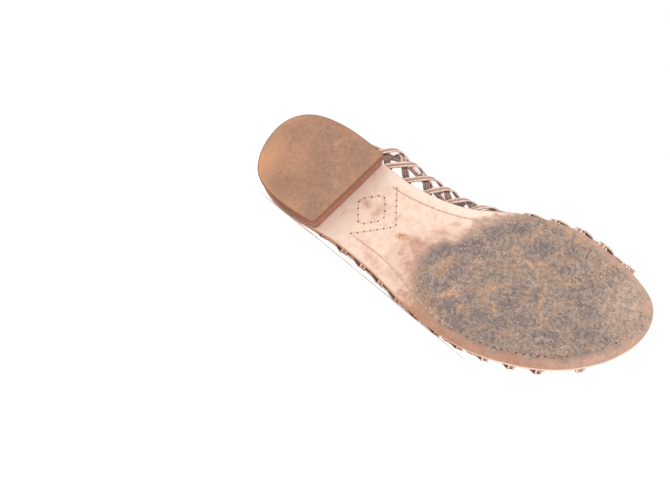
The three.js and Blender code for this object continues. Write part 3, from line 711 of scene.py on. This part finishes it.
channelInset = {
    1: curveThrough(soleWork["outerInset"], "inset"),
    -1: curveThrough(soleWork["innerInset"], "inset"),
}


def channelAt(turn):
    # Inset of the stitched channel at each turn, the same on both sides at the toe
    at = outline(turn)[..., 0] / shoe["length"]
    return np.where(np.mod(turn, 360) <= 180, channelInset[1](at), channelInset[-1](at))


def pastFront(x, y):
    # How far a point lies in front of the worn field's curved front
    return x - np.interp(y, soleWork["frontY"], soleWork["frontX"])


def rimAt(x, y, outside, inset, warp):
    # The rim outside the channel: tanned brown on the outer side and round the toe, where the ground
    # did not grind it, and half ground off on the inner side of the ball
    outerSide = smooth(-6, 6, y - np.interp(x, soleWork["sidesX"], soleWork["sidesY"]))
    outerRim = outside * outerSide * smooth(95, 135, x) * (1 - 0.1 * smooth(205, 235, x))
    toeRim = outside * (1 - outerSide) * smooth(214, 236, x) * 0.6
    innerRim = (1 - smooth(1, 7, inset + 0.3 * warp)) * (1 - outerSide) * smooth(160, 192, x) * 0.78
    rim = np.clip(np.maximum(np.maximum(outerRim, toeRim), innerRim), 0, 1)
    abraded = np.clip(smooth(135, 160, x) * (1 - outerSide) + smooth(212, 232, x), 0, 1)
    return rim * (0.72 + 0.28 * mottle(x, y, 5, 8)), abraded


def makeOutsole():
    # Rings round the outline at growing insets, on from the last one straight to a spine, closed
    # below and above; heights are under(x), and the channel is a groove of about a cosine's form
    turn = np.linspace(0, 360, soleWork["turns"], endpoint=False)
    channel = channelAt(turn)
    started = np.where(turn <= 180, smooth(soleWork["outerStart"] - 1, soleWork["outerStart"] + 1, turn),
                       smooth(soleWork["innerStart"] - 1, soleWork["innerStart"] + 1, 360 - turn))
    innermost = channel + soleWork["channelFoot"]
    edgeRing = outlineInset(turn, innermost)
    spine = spineOf(edgeRing)
    reach = np.linalg.norm(edgeRing - spine, axis=-1)
    rings, values = [], []

    def addRing(xy, high, inset, wall, line):
        rings.append(raised(xy, under(xy[:, 0]) + high))
        values.append([np.broadcast_to(v, len(turn)) for v in (inset, wall, line)])

    for share in np.linspace(0, 1, soleWork["innerRings"]):
        addRing(mix(spine, edgeRing, share), 0, innermost + (1 - share) * reach, 0, 0)
    faded = np.where(outline(turn)[:, 0] < 150, 0.2, 0.36)
    for past, deep in soleWork["groove"]:
        sunk = soleWork["channelDepth"] * deep * started
        shade = started * max(0, deep - 0.6) * 2.5 * faded
        addRing(outlineInset(turn, channel + past), sunk, channel + past, 0, shade)
    for share in (0.8, 0.65, 0.5, 0.35, 0.22):
        addRing(outlineInset(turn, channel * share), 0, channel * share, 0, 0)
    # Round the edge: inset, height, whether it is the wall, and how dark its line is
    thick = shoe["outsole"]
    for inset, high, wall, line in (
            (0.8, 0, 0, 0), (0.5, 0.06, 0, 0.1), (0.25, 0.2, 0.3, 0.5), (0, 0.65, 1, 0.2), (0, 1.6, 1, 0),
            (0, 2.8, 1, 0), (0, thick - 0.9, 1, 0.1), (0.1, thick - 0.45, 1, 0.8), (0.3, thick - 0.15, 1, 1),
            (0.7, thick, 1, 1), (1.4, thick, 1, 1)):
        addRing(outlineInset(turn, inset), high, inset, wall, line)
    for share in (0.8, 0.4, 0):
        addRing(mix(spine, edgeRing, share), thick, 9, 1, 0)
    grid = np.stack(rings)
    inset, wall, line = (np.stack([row[k] for row in values]) for k in range(3))
    x, y = grid[..., 0], grid[..., 1]
    warp = (mottle(x, y, 9, 3) - 0.5) * 7 + (mottle(x, y, 3.5, 4) - 0.5) * 4
    outside = 1 - smooth(-5.8, 2.2, inset - channel[None, :] + 0.35 * warp)
    rim, abraded = rimAt(x, y, outside, inset, warp)
    soil = smooth(-26, 0, pastFront(x + warp * 0.6, y)) * (0.3 + 0.7 * smooth(-16, 8, y))
    paint = {
        "worn": smooth(-12, 11, pastFront(x + warp, y)) * (1 - wall),
        "soil": soil * (0.5 + 0.5 * mottle(x, y, 7, 9)),
        "ochre": blots(x + warp * 0.3, y - warp * 0.2, ochreMarks),
        "dark": blots(x, y + warp * 0.3, darkMarks), "light": blots(x, y, lightMarks),
        "stain": blots(x + warp * 0.25, y, stainMarks) * (1 - wall), "rim": rim, "wall": wall,
        "line": line * np.where(wall > 0, 1, 1 - 0.85 * abraded),
    }
    faces = gridFaces(*grid.shape[:2]).tolist()
    makePiece("outsole_leather", grid.reshape(-1, 3), faces, [soleLeather], "outsole",
              merge=0.004, sharp=60, values=paint)


makeOutsole()
print("outsole made")

# Stitches of the sole. Each sign's corners are in millimetres, and faint is 1 where thread and
# holes have closed into the leather.
stitchWork = {
    "pitch": 4.2, "threadWidth": 0.6, "threadHeight": 0.34, "threadSpan": (0.22, 0.8),
    "chevron": {"corners": [(80.6, -13.7), (92.4, 8.6), (69.4, 23.3)], "round": 1.5, "faint": 0.1},
    "lozenge": {"corners": [(84, 7.4), (76.2, -7.2), (62.6, 2), (70.4, 16.6)], "round": 4.0, "faint": 0.0},
    "channelFaint": 0.76, "seed": 12,
    # An awl hole is a shallow dark cup: radius and height of its rings
    "hole": [(0.64, 0.05), (0.64, -0.06), (0.35, -0.09), (0.02, -0.1)],
}


def roundedLine(corners, radius, closed):
    # Straight sides with each corner cut by a quadratic arc of that reach
    corners = np.array(corners, float)
    count = len(corners)
    out = []
    for i in range(count):
        here = corners[i]
        if not closed and i in (0, count - 1):
            out.append(here[None])
            continue
        before = here + unit(corners[i - 1] - here) * radius
        after = here + unit(corners[(i + 1) % count] - here) * radius
        u = np.linspace(0, 1, 8)[:, None]
        out.append((1 - u) ** 2 * before + 2 * u * (1 - u) * here + u ** 2 * after)
    line = np.concatenate(out)
    return np.vstack([line, line[:1]]) if closed else line


def stitchRun(line, depth, closed):
    # Holes at even distances along a line on the underside, and both ends of the thread between them
    run = runOf(raised(line, under(line[:, 0])))
    pitch = stitchWork["pitch"]
    marks = np.linspace(0, run[-1], max(1, round(run[-1] / pitch)) + 1)

    def at(want):
        spot = sampled(want, run, line)
        return raised(spot, under(spot[:, 0]) + depth)

    first, last = stitchWork["threadSpan"]
    return at(marks[:-1] if closed else marks), at(marks[:-1] + first * pitch), at(marks[:-1] + last * pitch)


def beads(starts, ends, outward, width, height, sides=6):
    # Long beads: five rings whose width goes as the square root of the sine along each bead
    share = np.array([0.0, 0.18, 0.5, 0.82, 1.0])
    fat = np.sqrt(np.sin(math.pi * (0.04 + 0.92 * share)))
    ahead = unit(ends - starts)
    sideways = unit(np.cross(outward, ahead))
    face = np.cross(ahead, sideways)
    angle = np.arange(sides) * 2 * math.pi / sides
    middle = mix(starts[:, None], ends[:, None], share[None, :, None])
    ring = (np.cos(angle)[None, None, :, None] * width / 2 * sideways[:, None, None]
            + np.sin(angle)[None, None, :, None] * height / 2 * face[:, None, None])
    return list(middle[:, :, None] + ring * fat[None, :, None, None])


def makeSoleStitches():
    outer = np.arange(soleWork["outerStart"], 180, 0.25)
    inner = np.arange(soleWork["innerStart"], 180, 0.25)
    turn = np.concatenate([outer, 360 - inner[::-1]])
    chevron, lozenge = stitchWork["chevron"], stitchWork["lozenge"]
    channel = outlineInset(turn, channelAt(turn))
    lines = [(channel, soleWork["channelDepth"] - 0.12, False, stitchWork["channelFaint"]),
             (roundedLine(chevron["corners"], chevron["round"], False), 0.02, False, chevron["faint"]),
             (roundedLine(lozenge["corners"], lozenge["round"], True), 0.02, True, lozenge["faint"])]
    chance = np.random.default_rng(stitchWork["seed"])
    rows = {key: [] for key in ("hole", "start", "end", "holeFaint", "threadFaint", "chalky")}
    for line, depth, closed, faint in lines:
        hole, start, end = stitchRun(line, depth, closed)
        x, y, count = hole[:, 0], hole[:, 1], len(start)
        outerSide = y > np.interp(x, [150, 250], [12, -8])
        # The ground has rubbed away most stitches of the inner side and the toe, and left those of
        # the outer side dark and clear
        gone = np.where(outerSide, smooth(208, 228, x), smooth(135, 155, x)) * 0.85
        keep = chance.random(len(hole)) >= gone
        bold = smooth(140, 160, x) * outerSide
        waist = np.where(y > 0, 0.2, 0) * (faint > 0.5)
        holeFaint = (faint + waist) * (1 - bold) + 0.15 * bold + 0.2 * chance.random(len(hole))
        threadFaint = 0.95 - 0.25 * bold[:count] + 0.05 * chance.random(count)
        chalky = smooth(125, 145, start[:, 0]) * (1 - outerSide[:count]) * 0.85
        rows["hole"].append(hole[keep])
        rows["holeFaint"].append(np.clip(holeFaint, 0, 1)[keep])
        for key, value in (("start", start), ("end", end), ("threadFaint", threadFaint), ("chalky", chalky)):
            rows[key].append(value[keep[:count]])
    rows = {key: np.concatenate(parts) for key, parts in rows.items()}
    down = np.tile([0.0, 0, -1], (len(rows["start"]), 1))
    points, faces = joinGrids(beads(rows["start"], rows["end"], down, stitchWork["threadWidth"],
                                    stitchWork["threadHeight"]))
    each = len(points) // len(down)
    makePiece("sole_stitches", points, faces, [soleThread], "outsole",
              values={"faint": np.repeat(rows["threadFaint"], each),
                      "chalky": np.repeat(rows["chalky"], each)})
    angle = np.arange(10) * 2 * math.pi / 10
    size = np.array(stitchWork["hole"])
    ring = np.stack([np.cos(angle), np.sin(angle)], -1)
    xy = rows["hole"][:, None, None, :2] + size[None, :, None, :1] * ring[None, None]
    z = np.broadcast_to(rows["hole"][:, None, None, 2:] + size[None, :, None, 1:], xy.shape[:3] + (1,))
    points, faces = joinGrids(list(np.concatenate([xy, z], -1)))
    makePiece("sole_stitch_holes", points, faces, [holeShade], "outsole",
              values={"faint": np.repeat(rows["holeFaint"], len(points) // len(rows["hole"]))})


makeSoleStitches()
print("sole stitches made")

# The stack's level loops: share of its height, and inset. Each board stands a little proud of its seams.
stackWork = {
    "points": 240, "clear": 0.2,
    "loops": [(0, 1.6), (0, 0.6), (0.03, 0.15), (0.24, 0), (0.26, 0.18), (0.28, 0), (0.49, 0), (0.51, 0.18),
              (0.53, 0), (0.74, 0), (0.76, 0.18), (0.78, 0), (0.97, 0), (1, 0.12), (1, 1.2)],
}
# The lift's marks as soft ovals: a paler patch at the back corner, and scuffs
liftWork = {
    "patch": [(8, 6, 7, 13, 0, 0.75)],
    "scuffs": [(21, -20, 0.8, 0.8, 0, 0.5), (37, -17, 2.4, 0.6, 40, 0.4), (45, -12, 3, 0.6, -40, 0.5),
               (28, 8, 1.6, 1, 20, 0.5), (35, -21, 0.9, 0.7, 0, 0.8), (50, 2, 5, 1.5, 80, 0.35)],
}


def heelOutline(inset, setBack):
    # The sole's outline behind the breast line, closed along that straight slanted line
    xy = outlineInset(np.linspace(-90, 90, 1441), inset)
    limit = shoe["breastAt"] - math.tan(math.radians(shoe["breastSkew"])) * xy[:, 1] - setBack
    even = evenly(xy[xy[:, 0] <= limit], 0.9, closed=True)[0]
    run = np.linspace(0, len(even), stackWork["points"], endpoint=False)
    return softened(sampled(run, np.arange(len(even) + 1), np.vstack([even, even[:1]])), 3)


def makeHeel():
    # Level loops from the lift to the outsole, drawn from the flared foot to the seat's own outline
    clear = stackWork["clear"]
    rings = []
    for share, inset in stackWork["loops"]:
        xy = heelOutline(mix(clear - shoe["flare"], shoe["heelInset"], share) + inset,
                         mix(clear - shoe["forward"], 0, share) + inset)
        rings.append(raised(xy, mix(shoe["lift"] + shoe["gap"], under(xy[:, 0]) - shoe["gap"], share)))
    points, faces = joinGrids([np.stack(rings)])
    makePiece("heel_stack", points, faces, [stackFinish], "heel", sharp=50)


def makeTopLift():
    # Loops from the tread's face round a small worn edge to the joint with the stack: inset, height,
    # how tan and how dark each is
    tall = shoe["lift"]
    loops = [(14, 0, 0, 0), (7, 0, 0.15, 0), (3.5, 0, 0.45, 0), (1.6, 0, 0.8, 0), (1, 0.02, 1, 0),
             (0.6, 0.1, 0.6, 0.4), (0.3, 0.3, 0.3, 0.75), (0, 0.7, 0.1, 0.8), (0, 2, 0, 0.7),
             (0, tall - 0.4, 0, 0.8), (0.2, tall - 0.1, 0, 1), (0.8, tall, 0, 1)]
    grid = np.stack([raised(heelOutline(inset - shoe["flare"], inset - shoe["forward"]), high)
                     for inset, high, tan, dark in loops])
    x, y = grid[..., 0], grid[..., 1]
    tan, dark = (np.broadcast_to(np.array([row[k] for row in loops])[:, None], x.shape) for k in (2, 3))
    rubbed = tan * (1 - 0.8 * smooth(18, 40, x - 0.4 * y)) * (0.25 + 0.7 * mottle(x, y, 12, 5))
    points, faces = joinGrids([grid])
    makePiece("heel_top_lift", points, faces, [liftFinish], "top_lift", sharp=50,
              values={"tan": np.clip(rubbed + blots(x, y, liftWork["patch"]), 0, 1),
                      "mark": blots(x, y, liftWork["scuffs"]), "line": dark})


makeHeel()
makeTopLift()
print("heel made")

# The insole's edge stands clear of the straps that rise past it. Trodden places are soft ovals.
insoleWork = {
    "turns": 480, "drawnInset": 9.0, "strapRoom": (2.0, 0.7 / 9),
    "trodden": [(32, 0, 22, 18, 0, 0.9), (165, 12, 26, 26, -10, 0.9), (222, -10, 12, 9, 0, 0.7),
                (218, 10, 9, 7, 0, 0.4), (205, 24, 8, 7, 0, 0.4), (100, 14, 40, 8, 5, 0.4)],
}


def insoleRing(turn, inset, level):
    # The insole's edge, inside the sole's edge and clear of the straps that rise past it
    clear = np.empty(len(turn))
    rise = shoe["lasted"] / 2 + shoe["lastedGap"] + level
    room, roomPerRise = insoleWork["strapRoom"]
    for side in (1, -1):
        here = (turn <= 180) if side == 1 else (turn > 180)
        at = outline(turn[here])[:, 0] / shoe["length"]
        reach = flankReach(side, at, rise) - side * cage["lean"] * rise
        clear[here] = np.maximum(shoe["insoleInset"], room + roomPerRise * rise - reach)
    xy = outlineInset(turn, softened(clear, 6) + inset)
    return raised(xy, footbedFloor(xy[:, 0]) + level)


def makeInsole():
    # Rings round the edge, on the underside and top drawn in to a spine
    turn = np.linspace(0, 360, insoleWork["turns"], endpoint=False)
    thick = shoe["insole"]
    rings, line = [], []

    def drawnIn(level, shares):
        ring = insoleRing(turn, insoleWork["drawnInset"], level)
        spine = spineOf(ring)
        for share in shares:
            xy = mix(spine, ring, share)[:, :2]
            rings.append(raised(xy, footbedFloor(xy[:, 0]) + level))
            line.append(np.zeros(len(turn)))

    drawnIn(0, (0, 0.5, 1))
    # Inset, height and how dark: the edge, and a fine creased line inside it on top
    for inset, level, dark in (
            (3, 0, 0), (1.2, 0, 1), (0.6, 0.25, 1), (0.2, 0.7, 0.3), (0, 1.3, 0), (0, thick - 1, 0),
            (0.15, thick - 0.5, 0), (0.5, thick - 0.15, 0.35), (1.1, thick, 0.35), (2, thick, 0),
            (3.4, thick, 0), (3.9, thick - 0.25, 0.5), (4.4, thick, 0), (6, thick, 0)):
        rings.append(insoleRing(turn, inset, level))
        line.append(np.full(len(turn), dark))
    drawnIn(thick, np.linspace(1, 0, 16))
    grid = np.stack(rings)
    faces = gridFaces(*grid.shape[:2]).tolist()
    trodden = blots(grid[..., 0], grid[..., 1], insoleWork["trodden"])
    makePiece("insole_leather", grid.reshape(-1, 3), faces, [insoleLeather], "insole",
              merge=0.004, sharp=60, values={"trodden": trodden, "line": np.stack(line)})


def makeLastedRim():
    # The upper's drawn-in edge, a ring between outsole and insole, set back from the sole's edge
    turn = np.linspace(0, 360, 360, endpoint=False)
    low, high = shoe["outsole"] + 0.06, shoe["outsole"] + 2 * shoe["lastedGap"] + shoe["lasted"] - 0.06
    rings = []
    for inset, level in ((8, low), (2.2, low), (1.9, low + 0.3), (1.9, high - 0.3), (2.2, high), (8, high)):
        xy = outlineInset(turn, inset)
        rings.append(raised(xy, under(xy[:, 0]) + level))
    grid = np.stack(rings)
    faces = gridFaces(*grid.shape[:2], closeRows=True).tolist()
    makePiece("lasted_rim", grid.reshape(-1, 3), faces, [lastedEdge], "upper", sharp=50)


makeInsole()
makeLastedRim()
print("insole made")

# The straps. Those that lean either way run at their own shift from the cage's surface, so that they
# cross over and under, and all are thin and flat under the insole.
strapWork = {
    "step": 2.0, "fineStep": 0.8, "fineLength": 12.0, "shortest": 14.0,
    "shift": 0.78, "thinShift": 0.3, "thin": 0.42,
    "fullFrom": -2.5, "fullAt": 3.0, "collarEase": 6.0, "rootShadeLength": (12, 30),
    "stitch": 3.4, "stitchLength": 2.3, "stitchStart": 6.0, "stitchOut": 0.36,
    "thread": (0.6, 0.4, 5), "lead": 13,
}
# A strap's section, across and out: two rolled edges, a sunk middle and a flat lined back
strapProfile = np.array([
    (-1.75, -0.62), (-2.1, -0.42), (-2.18, 0.02), (-2.08, 0.46), (-1.8, 0.73), (-1.42, 0.71), (-1.12, 0.44),
    (-0.6, 0.32), (0.6, 0.32), (1.12, 0.44), (1.42, 0.71), (1.8, 0.73), (2.08, 0.46), (2.18, 0.02),
    (2.1, -0.42), (1.75, -0.62), (0.7, -0.66), (-0.7, -0.66)])
strapBack = np.array([1] + [0] * 13 + [1] * 4)


def swing(up):
    # How far a strap has swung aside above its root: it leaves slanting, and then climbs more steeply
    return cage["leave"] * (1 - np.exp(-up / cage["leaveReach"]))


def strapWay(side, index, lean):
    # A strap as side, run and height for t from 0 to 1. Behind the instep it climbs the wall, and in
    # front it makes for a root across the foot, swinging aside at both of its ends.
    start = (index + 0.5) * cage["pitch"]
    if xAtRun(side, start) < cage["wallEnd"]:
        def wall(t):
            up = cage["wallClimb"] * t
            aside = cage["climb"] * up + swing(up) - cage["spread"]
            return np.full(t.shape, side), start + lean * aside, up
        return wall
    startX = xAtRun(side, start - lean * cage["spread"])
    farRun = (index + lean * cage["crossed"] + 0.5) * cage["pitch"]
    farX = farRun if farRun < 0 else xAtRun(-side, farRun + lean * cage["spread"])

    def topAt(here, x):
        run = np.where(here == 1, runAtX(1, x), runAtX(-1, x))
        return run, np.where(here == 1, heightToRidge(1, run), heightToRidge(-1, run))

    def over(t):
        here = np.where(t < 0.5, side, -side)
        straight = mix(startX, farX, t)
        climb = 2 * topAt(here, straight)[1]
        aside = swing(climb * t) * (1 - t) - swing(climb * (1 - t)) * t
        run, top = topAt(here, straight + lean * aside)
        return here, run, top * 2 * np.where(t < 0.5, t, 1 - t)
    return over


def strapPath(side, index, lean):
    # Even points of one strap with their normals, from under the insole to the collar, the toe band
    # or the far root: their distance along it and height above a root, and whether it lands there
    here, run, up = strapWay(side, index, lean)(np.linspace(0, 1, 601))
    outside = ~inCage(here, run, up)
    outside[[0, -1]] = False
    landed = not outside.any()
    last = len(up) - 1 if landed else int(np.argmax(outside))
    here, run, up = here[:last + 1], run[:last + 1], up[:last + 1]
    count = strapWork["lead"]
    lead = np.linspace(-1, 0, count + 1)[:-1]
    inset = section(here[0], run[:1])[2][0]
    run = np.concatenate([np.full(count, run[0]), run])
    up = np.concatenate([lead * inset, up])
    here = np.concatenate([np.full(count, here[0]), here])
    if landed:
        inset = section(here[-1], np.abs(run[-1:]))[2][0]
        run = np.concatenate([run, np.full(count, run[-1])])
        up = np.concatenate([up, lead[::-1] * inset])
        here = np.concatenate([here, np.full(count, here[-1])])
    point, normal = cagePlaces(here, run, up)
    move = runOf(point)
    keep = np.concatenate([[True], np.diff(move) > 1e-6])
    point, normal, move, up = point[keep], normal[keep], move[keep], up[keep]
    total, ends = move[-1], strapWork["fineLength"]
    coarse = np.arange(ends, total - (ends if landed else 0), strapWork["step"])
    fine = np.arange(0, ends, strapWork["fineStep"])
    want = np.unique(np.concatenate([fine, coarse, total - fine if landed else [total]]))
    want = want[(want >= 0) & (want <= total)]
    facing = unit(sampled(want, move, normal))
    return sampled(want, move, point), facing, want, np.interp(want, move, up), landed


def makeStraps():
    # Each strap is its section carried along its path, lifted out or let in by its shift
    grids, across, rootShade, backs = [], [], [], []
    starts, ends, facings = [], [], []
    roots = {side: int((runAtX(side, cage["toeLineAt"]) - 4) // cage["pitch"]) for side in (1, -1)}
    ways = [(side, index, lean) for side in (1, -1) for index in range(roots[side]) for lean in (1, -1)]
    for side, index, lean in ways:
        place, facing, want, height, landed = strapPath(side, index, lean)
        if want[-1] < strapWork["shortest"] or (side < 0 and landed):
            continue
        full = smooth(strapWork["fullFrom"], strapWork["fullAt"], height)
        shift = -mix(strapWork["thinShift"], strapWork["shift"], full) * lean * side
        if not landed:
            shift = shift * smooth(0, strapWork["collarEase"], want[-1] - want)
        thick = mix(strapWork["thin"], 1, full)
        path = place + facing * shift[:, None]
        grids.append(carry(path, facing, strapProfile, thick))
        across.append(np.tile(strapProfile[:, 0], len(want)))
        # Painted shade: the straps that pass under the crossing ones are darkened near their roots, fully for
        # 12 mm and fading out by 30 mm
        rootShadeAmount = (1 - smooth(*strapWork["rootShadeLength"], want)) * (lean * side > 0)
        rootShade.append(np.repeat(rootShadeAmount, len(strapProfile)))
        backs.append(np.tile(strapBack, len(want) - 1))
        seat = path + facing * (strapWork["stitchOut"] * thick)[:, None]
        run = runOf(seat)
        marks = np.arange(strapWork["stitchStart"], run[-1] - strapWork["stitchStart"], strapWork["stitch"])
        starts.append(sampled(marks, run, seat))
        ends.append(sampled(marks + strapWork["stitchLength"], run, seat))
        facings.append(unit(sampled(marks, run, facing)))
    points, faces = joinGrids(grids)
    finish = np.concatenate(backs + [np.zeros(2 * len(grids), int)])
    makePiece("cage_straps", points, faces, [foilLeather, strapLining], "upper",
              faceFinish=finish, values={"across": np.concatenate(across), "rootShade": np.concatenate(rootShade)})
    starts, ends, facings = (np.concatenate(part) for part in (starts, ends, facings))
    points, faces = joinGrids(beads(starts, ends, facings, *strapWork["thread"]))
    makePiece("strap_stitches", points, faces, [strapThread], "upper")
    print("straps:", len(grids), "stitches:", len(starts))


# The two bands: step is the distance between sections, foil the scale that fits the foil's
# darker middle, a painted shade, to their width
collarWork = {"width": 6.0, "thick": 2.5, "rolled": 0.8, "step": 1.6, "foil": 0.62, "seams": (-1.05, 1.05),
              "seamOut": 0.78, "stitchShare": 0.7}
toeWork = {"width": 4.9, "thick": 2.2, "rolled": 0.75, "step": 1.2, "foil": 0.8, "thin": 0.4}


def bandProfile(work):
    # A band's section: rolled edges standing a little proud of a flat middle, and a flat back; with
    # it, which faces are the back
    w, t, rolled = work["width"] / 2, work["thick"] / 2, work["rolled"]
    front = [(-w + rolled, -t), (-w + 0.35 * rolled, -0.75 * t), (-w, -0.1 * t), (-w + 0.2 * rolled, 0.6 * t),
             (-w + 0.75 * rolled, t), (-w + 1.4 * rolled, 0.85 * t), (-w + 1.8 * rolled, 0.55 * t)]
    other = [(-x, z) for x, z in reversed(front)]
    profile = np.array(front + [(0, 0.5 * t)] + other + [(0, -t)])
    return profile, np.array([1] + [0] * (len(profile) - 3) + [1, 1])


def makeCollar():
    # The closed band round the foot opening: low round the heel, a quarter ellipse up to the throat
    halves = []
    for side in (1, -1):
        turnRun, throatRun = runAtX(side, cage["collarTurnAt"]), runAtX(side, cage["throatAt"])
        run = np.concatenate([np.linspace(0.01, turnRun, 60, endpoint=False),
                              mix(turnRun, throatRun, np.sin(np.linspace(0, math.pi / 2, 90)))])
        up = np.minimum(collarUp(side, np.minimum(run, throatRun - 0.001)), heightToRidge(side, run))
        up[-1] = heightToRidge(side, throatRun)[0]
        halves.append(cagePlaces(np.full(len(run), side), run, up))
    point, normal = (np.concatenate([outer, inner[1:-1][::-1], outer[:1]]) for outer, inner in zip(*halves))
    even, want = evenly(point[:-1], collarWork["step"], closed=True)
    even, facing = softened(even, 10), unit(softened(sampled(want, runOf(point), normal), 16))
    profile, back = bandProfile(collarWork)
    points, faces = joinGrids([carry(even, facing, profile, closed=True)], closed=True)
    makePiece("collar_band", points, faces, [foilLeather, strapLining], "upper",
              faceFinish=np.tile(back, len(even)),
              values={"across": np.tile(profile[:, 0] * collarWork["foil"], len(even))})
    rows = []
    marks = np.arange(0, len(even) - 1, 2)
    for seam in collarWork["seams"]:
        line = carry(even, facing, np.array([(seam, collarWork["seamOut"])]), closed=True)[:, 0]
        end = mix(line[marks], line[(marks + 2) % len(even)], collarWork["stitchShare"])
        rows.append((line[marks], end, facing[marks]))
    starts, ends, out = (np.concatenate(part) for part in zip(*rows))
    points, faces = joinGrids(beads(starts, ends, out, *strapWork["thread"]))
    makePiece("collar_stitches", points, faces, [strapThread], "upper")


def makeToeBand():
    # The band along the open toe, from under the insole over the toes and back under it
    halves = []
    for side in (1, -1):
        root = runAtX(side, cage["toeLineAt"])
        inset = section(side, np.array([root]))[2][0]
        top = heightToRidge(side, root - cage["toeLineSetBack"])[0]
        up = np.concatenate([np.linspace(-inset, 0, 12, endpoint=False), np.linspace(0, top, 60)[:-3]])
        run = np.where(up < 0, root, toeRun(side, np.maximum(up, 0)))
        halves.append((*cagePlaces(np.full(len(up), side), run, up), up))
    point, normal, up = (np.concatenate([outer, inner[::-1]]) for outer, inner in zip(*halves))
    move = runOf(point)
    even, want = evenly(point, toeWork["step"])
    full = smooth(-3, 2, np.interp(want, move, up))
    profile, back = bandProfile(toeWork)
    grid = carry(even, unit(sampled(want, move, normal)), profile, mix(toeWork["thin"], 1, full))
    points, faces = joinGrids([grid])
    makePiece("toe_band", points, faces, [foilLeather, strapLining], "upper",
              faceFinish=np.append(np.tile(back, len(even) - 1), [0, 0]),
              values={"across": np.tile(profile[:, 0] * toeWork["foil"], len(even))})


makeStraps()
makeCollar()
makeToeBand()
print("cage made")

# Studio: a pale floor, soft light from above and from the camera's side, a white surround. A light
# is its name, place, aim, size in metres and power in watts.
studio = {
    "cameraPlace": (0.160963, -0.935503, 0.017167), "cameraTurn": (88.77725131, -39.0175677, 13.71658048),
    "lens": 84.73, "surround": 1.02, "floorHalf": 20.0, "floorGlow": 0.3,
    "lights": [("top_light", (0.25, -0.55, 1.3), (0, 0, 0.04), 1.1, 3.0),
               ("front_light", (-0.9, -1.3, 0.9), (0, 0, 0.04), 0.9, 2.3),
               ("side_light", (1.3, -0.6, 0.8), (0.05, 0, 0.04), 0.6, 1.2)],
}


def makeCamera(scene):
    camera = bpy.data.objects.new("camera", bpy.data.cameras.new("camera"))
    camera.data.lens = studio["lens"]
    camera.data.sensor_width = 36
    camera.data.clip_start = 0.01
    camera.location = studio["cameraPlace"]
    camera.rotation_euler = Euler([math.radians(v) for v in studio["cameraTurn"]], "XYZ")
    scene.collection.objects.link(camera)
    scene.camera = camera


def makeLights(scene):
    for name, place, aim, size, power in studio["lights"]:
        lamp = bpy.data.lights.new(name, "AREA")
        lamp.shape = "DISK"
        lamp.size = size
        lamp.energy = power
        light = bpy.data.objects.new(name, lamp)
        light.rotation_euler = (Vector(aim) - Vector(place)).to_track_quat("-Z", "Y").to_euler()
        light.location = place
        light.visible_camera = False
        scene.collection.objects.link(light)


def makeFloor(scene):
    # White, and lit a little from within as a light table is
    startMaterial("white_studio_floor")
    plug(making["material"].node_tree.nodes["Principled BSDF"], {
        "Base Color": linear("#ffffff"), "Roughness": 0.4, "Specular IOR Level": 0.3,
        "Emission Color": linear("#ffffff"), "Emission Strength": studio["floorGlow"],
    })
    half = studio["floorHalf"]
    mesh = bpy.data.meshes.new("floor")
    corners = [(-half, -half, 0), (half, -half, 0), (half, half, 0), (-half, half, 0)]
    mesh.from_pydata(corners, [], [(0, 1, 2, 3)])
    mesh.materials.append(making["material"])
    floor = bpy.data.objects.new("floor", mesh)
    scene.collection.objects.link(floor)


def makeSurround(scene):
    world = bpy.data.worlds.new("surround")
    world.use_nodes = True
    background = world.node_tree.nodes["Background"]
    background.inputs[0].default_value = (1, 1, 1, 1)
    background.inputs[1].default_value = studio["surround"]
    scene.world = world
    scene.view_settings.view_transform = "Standard"


for makePart in (makeCamera, makeLights, makeFloor, makeSurround):
    makePart(bpy.context.scene)
print("studio made")
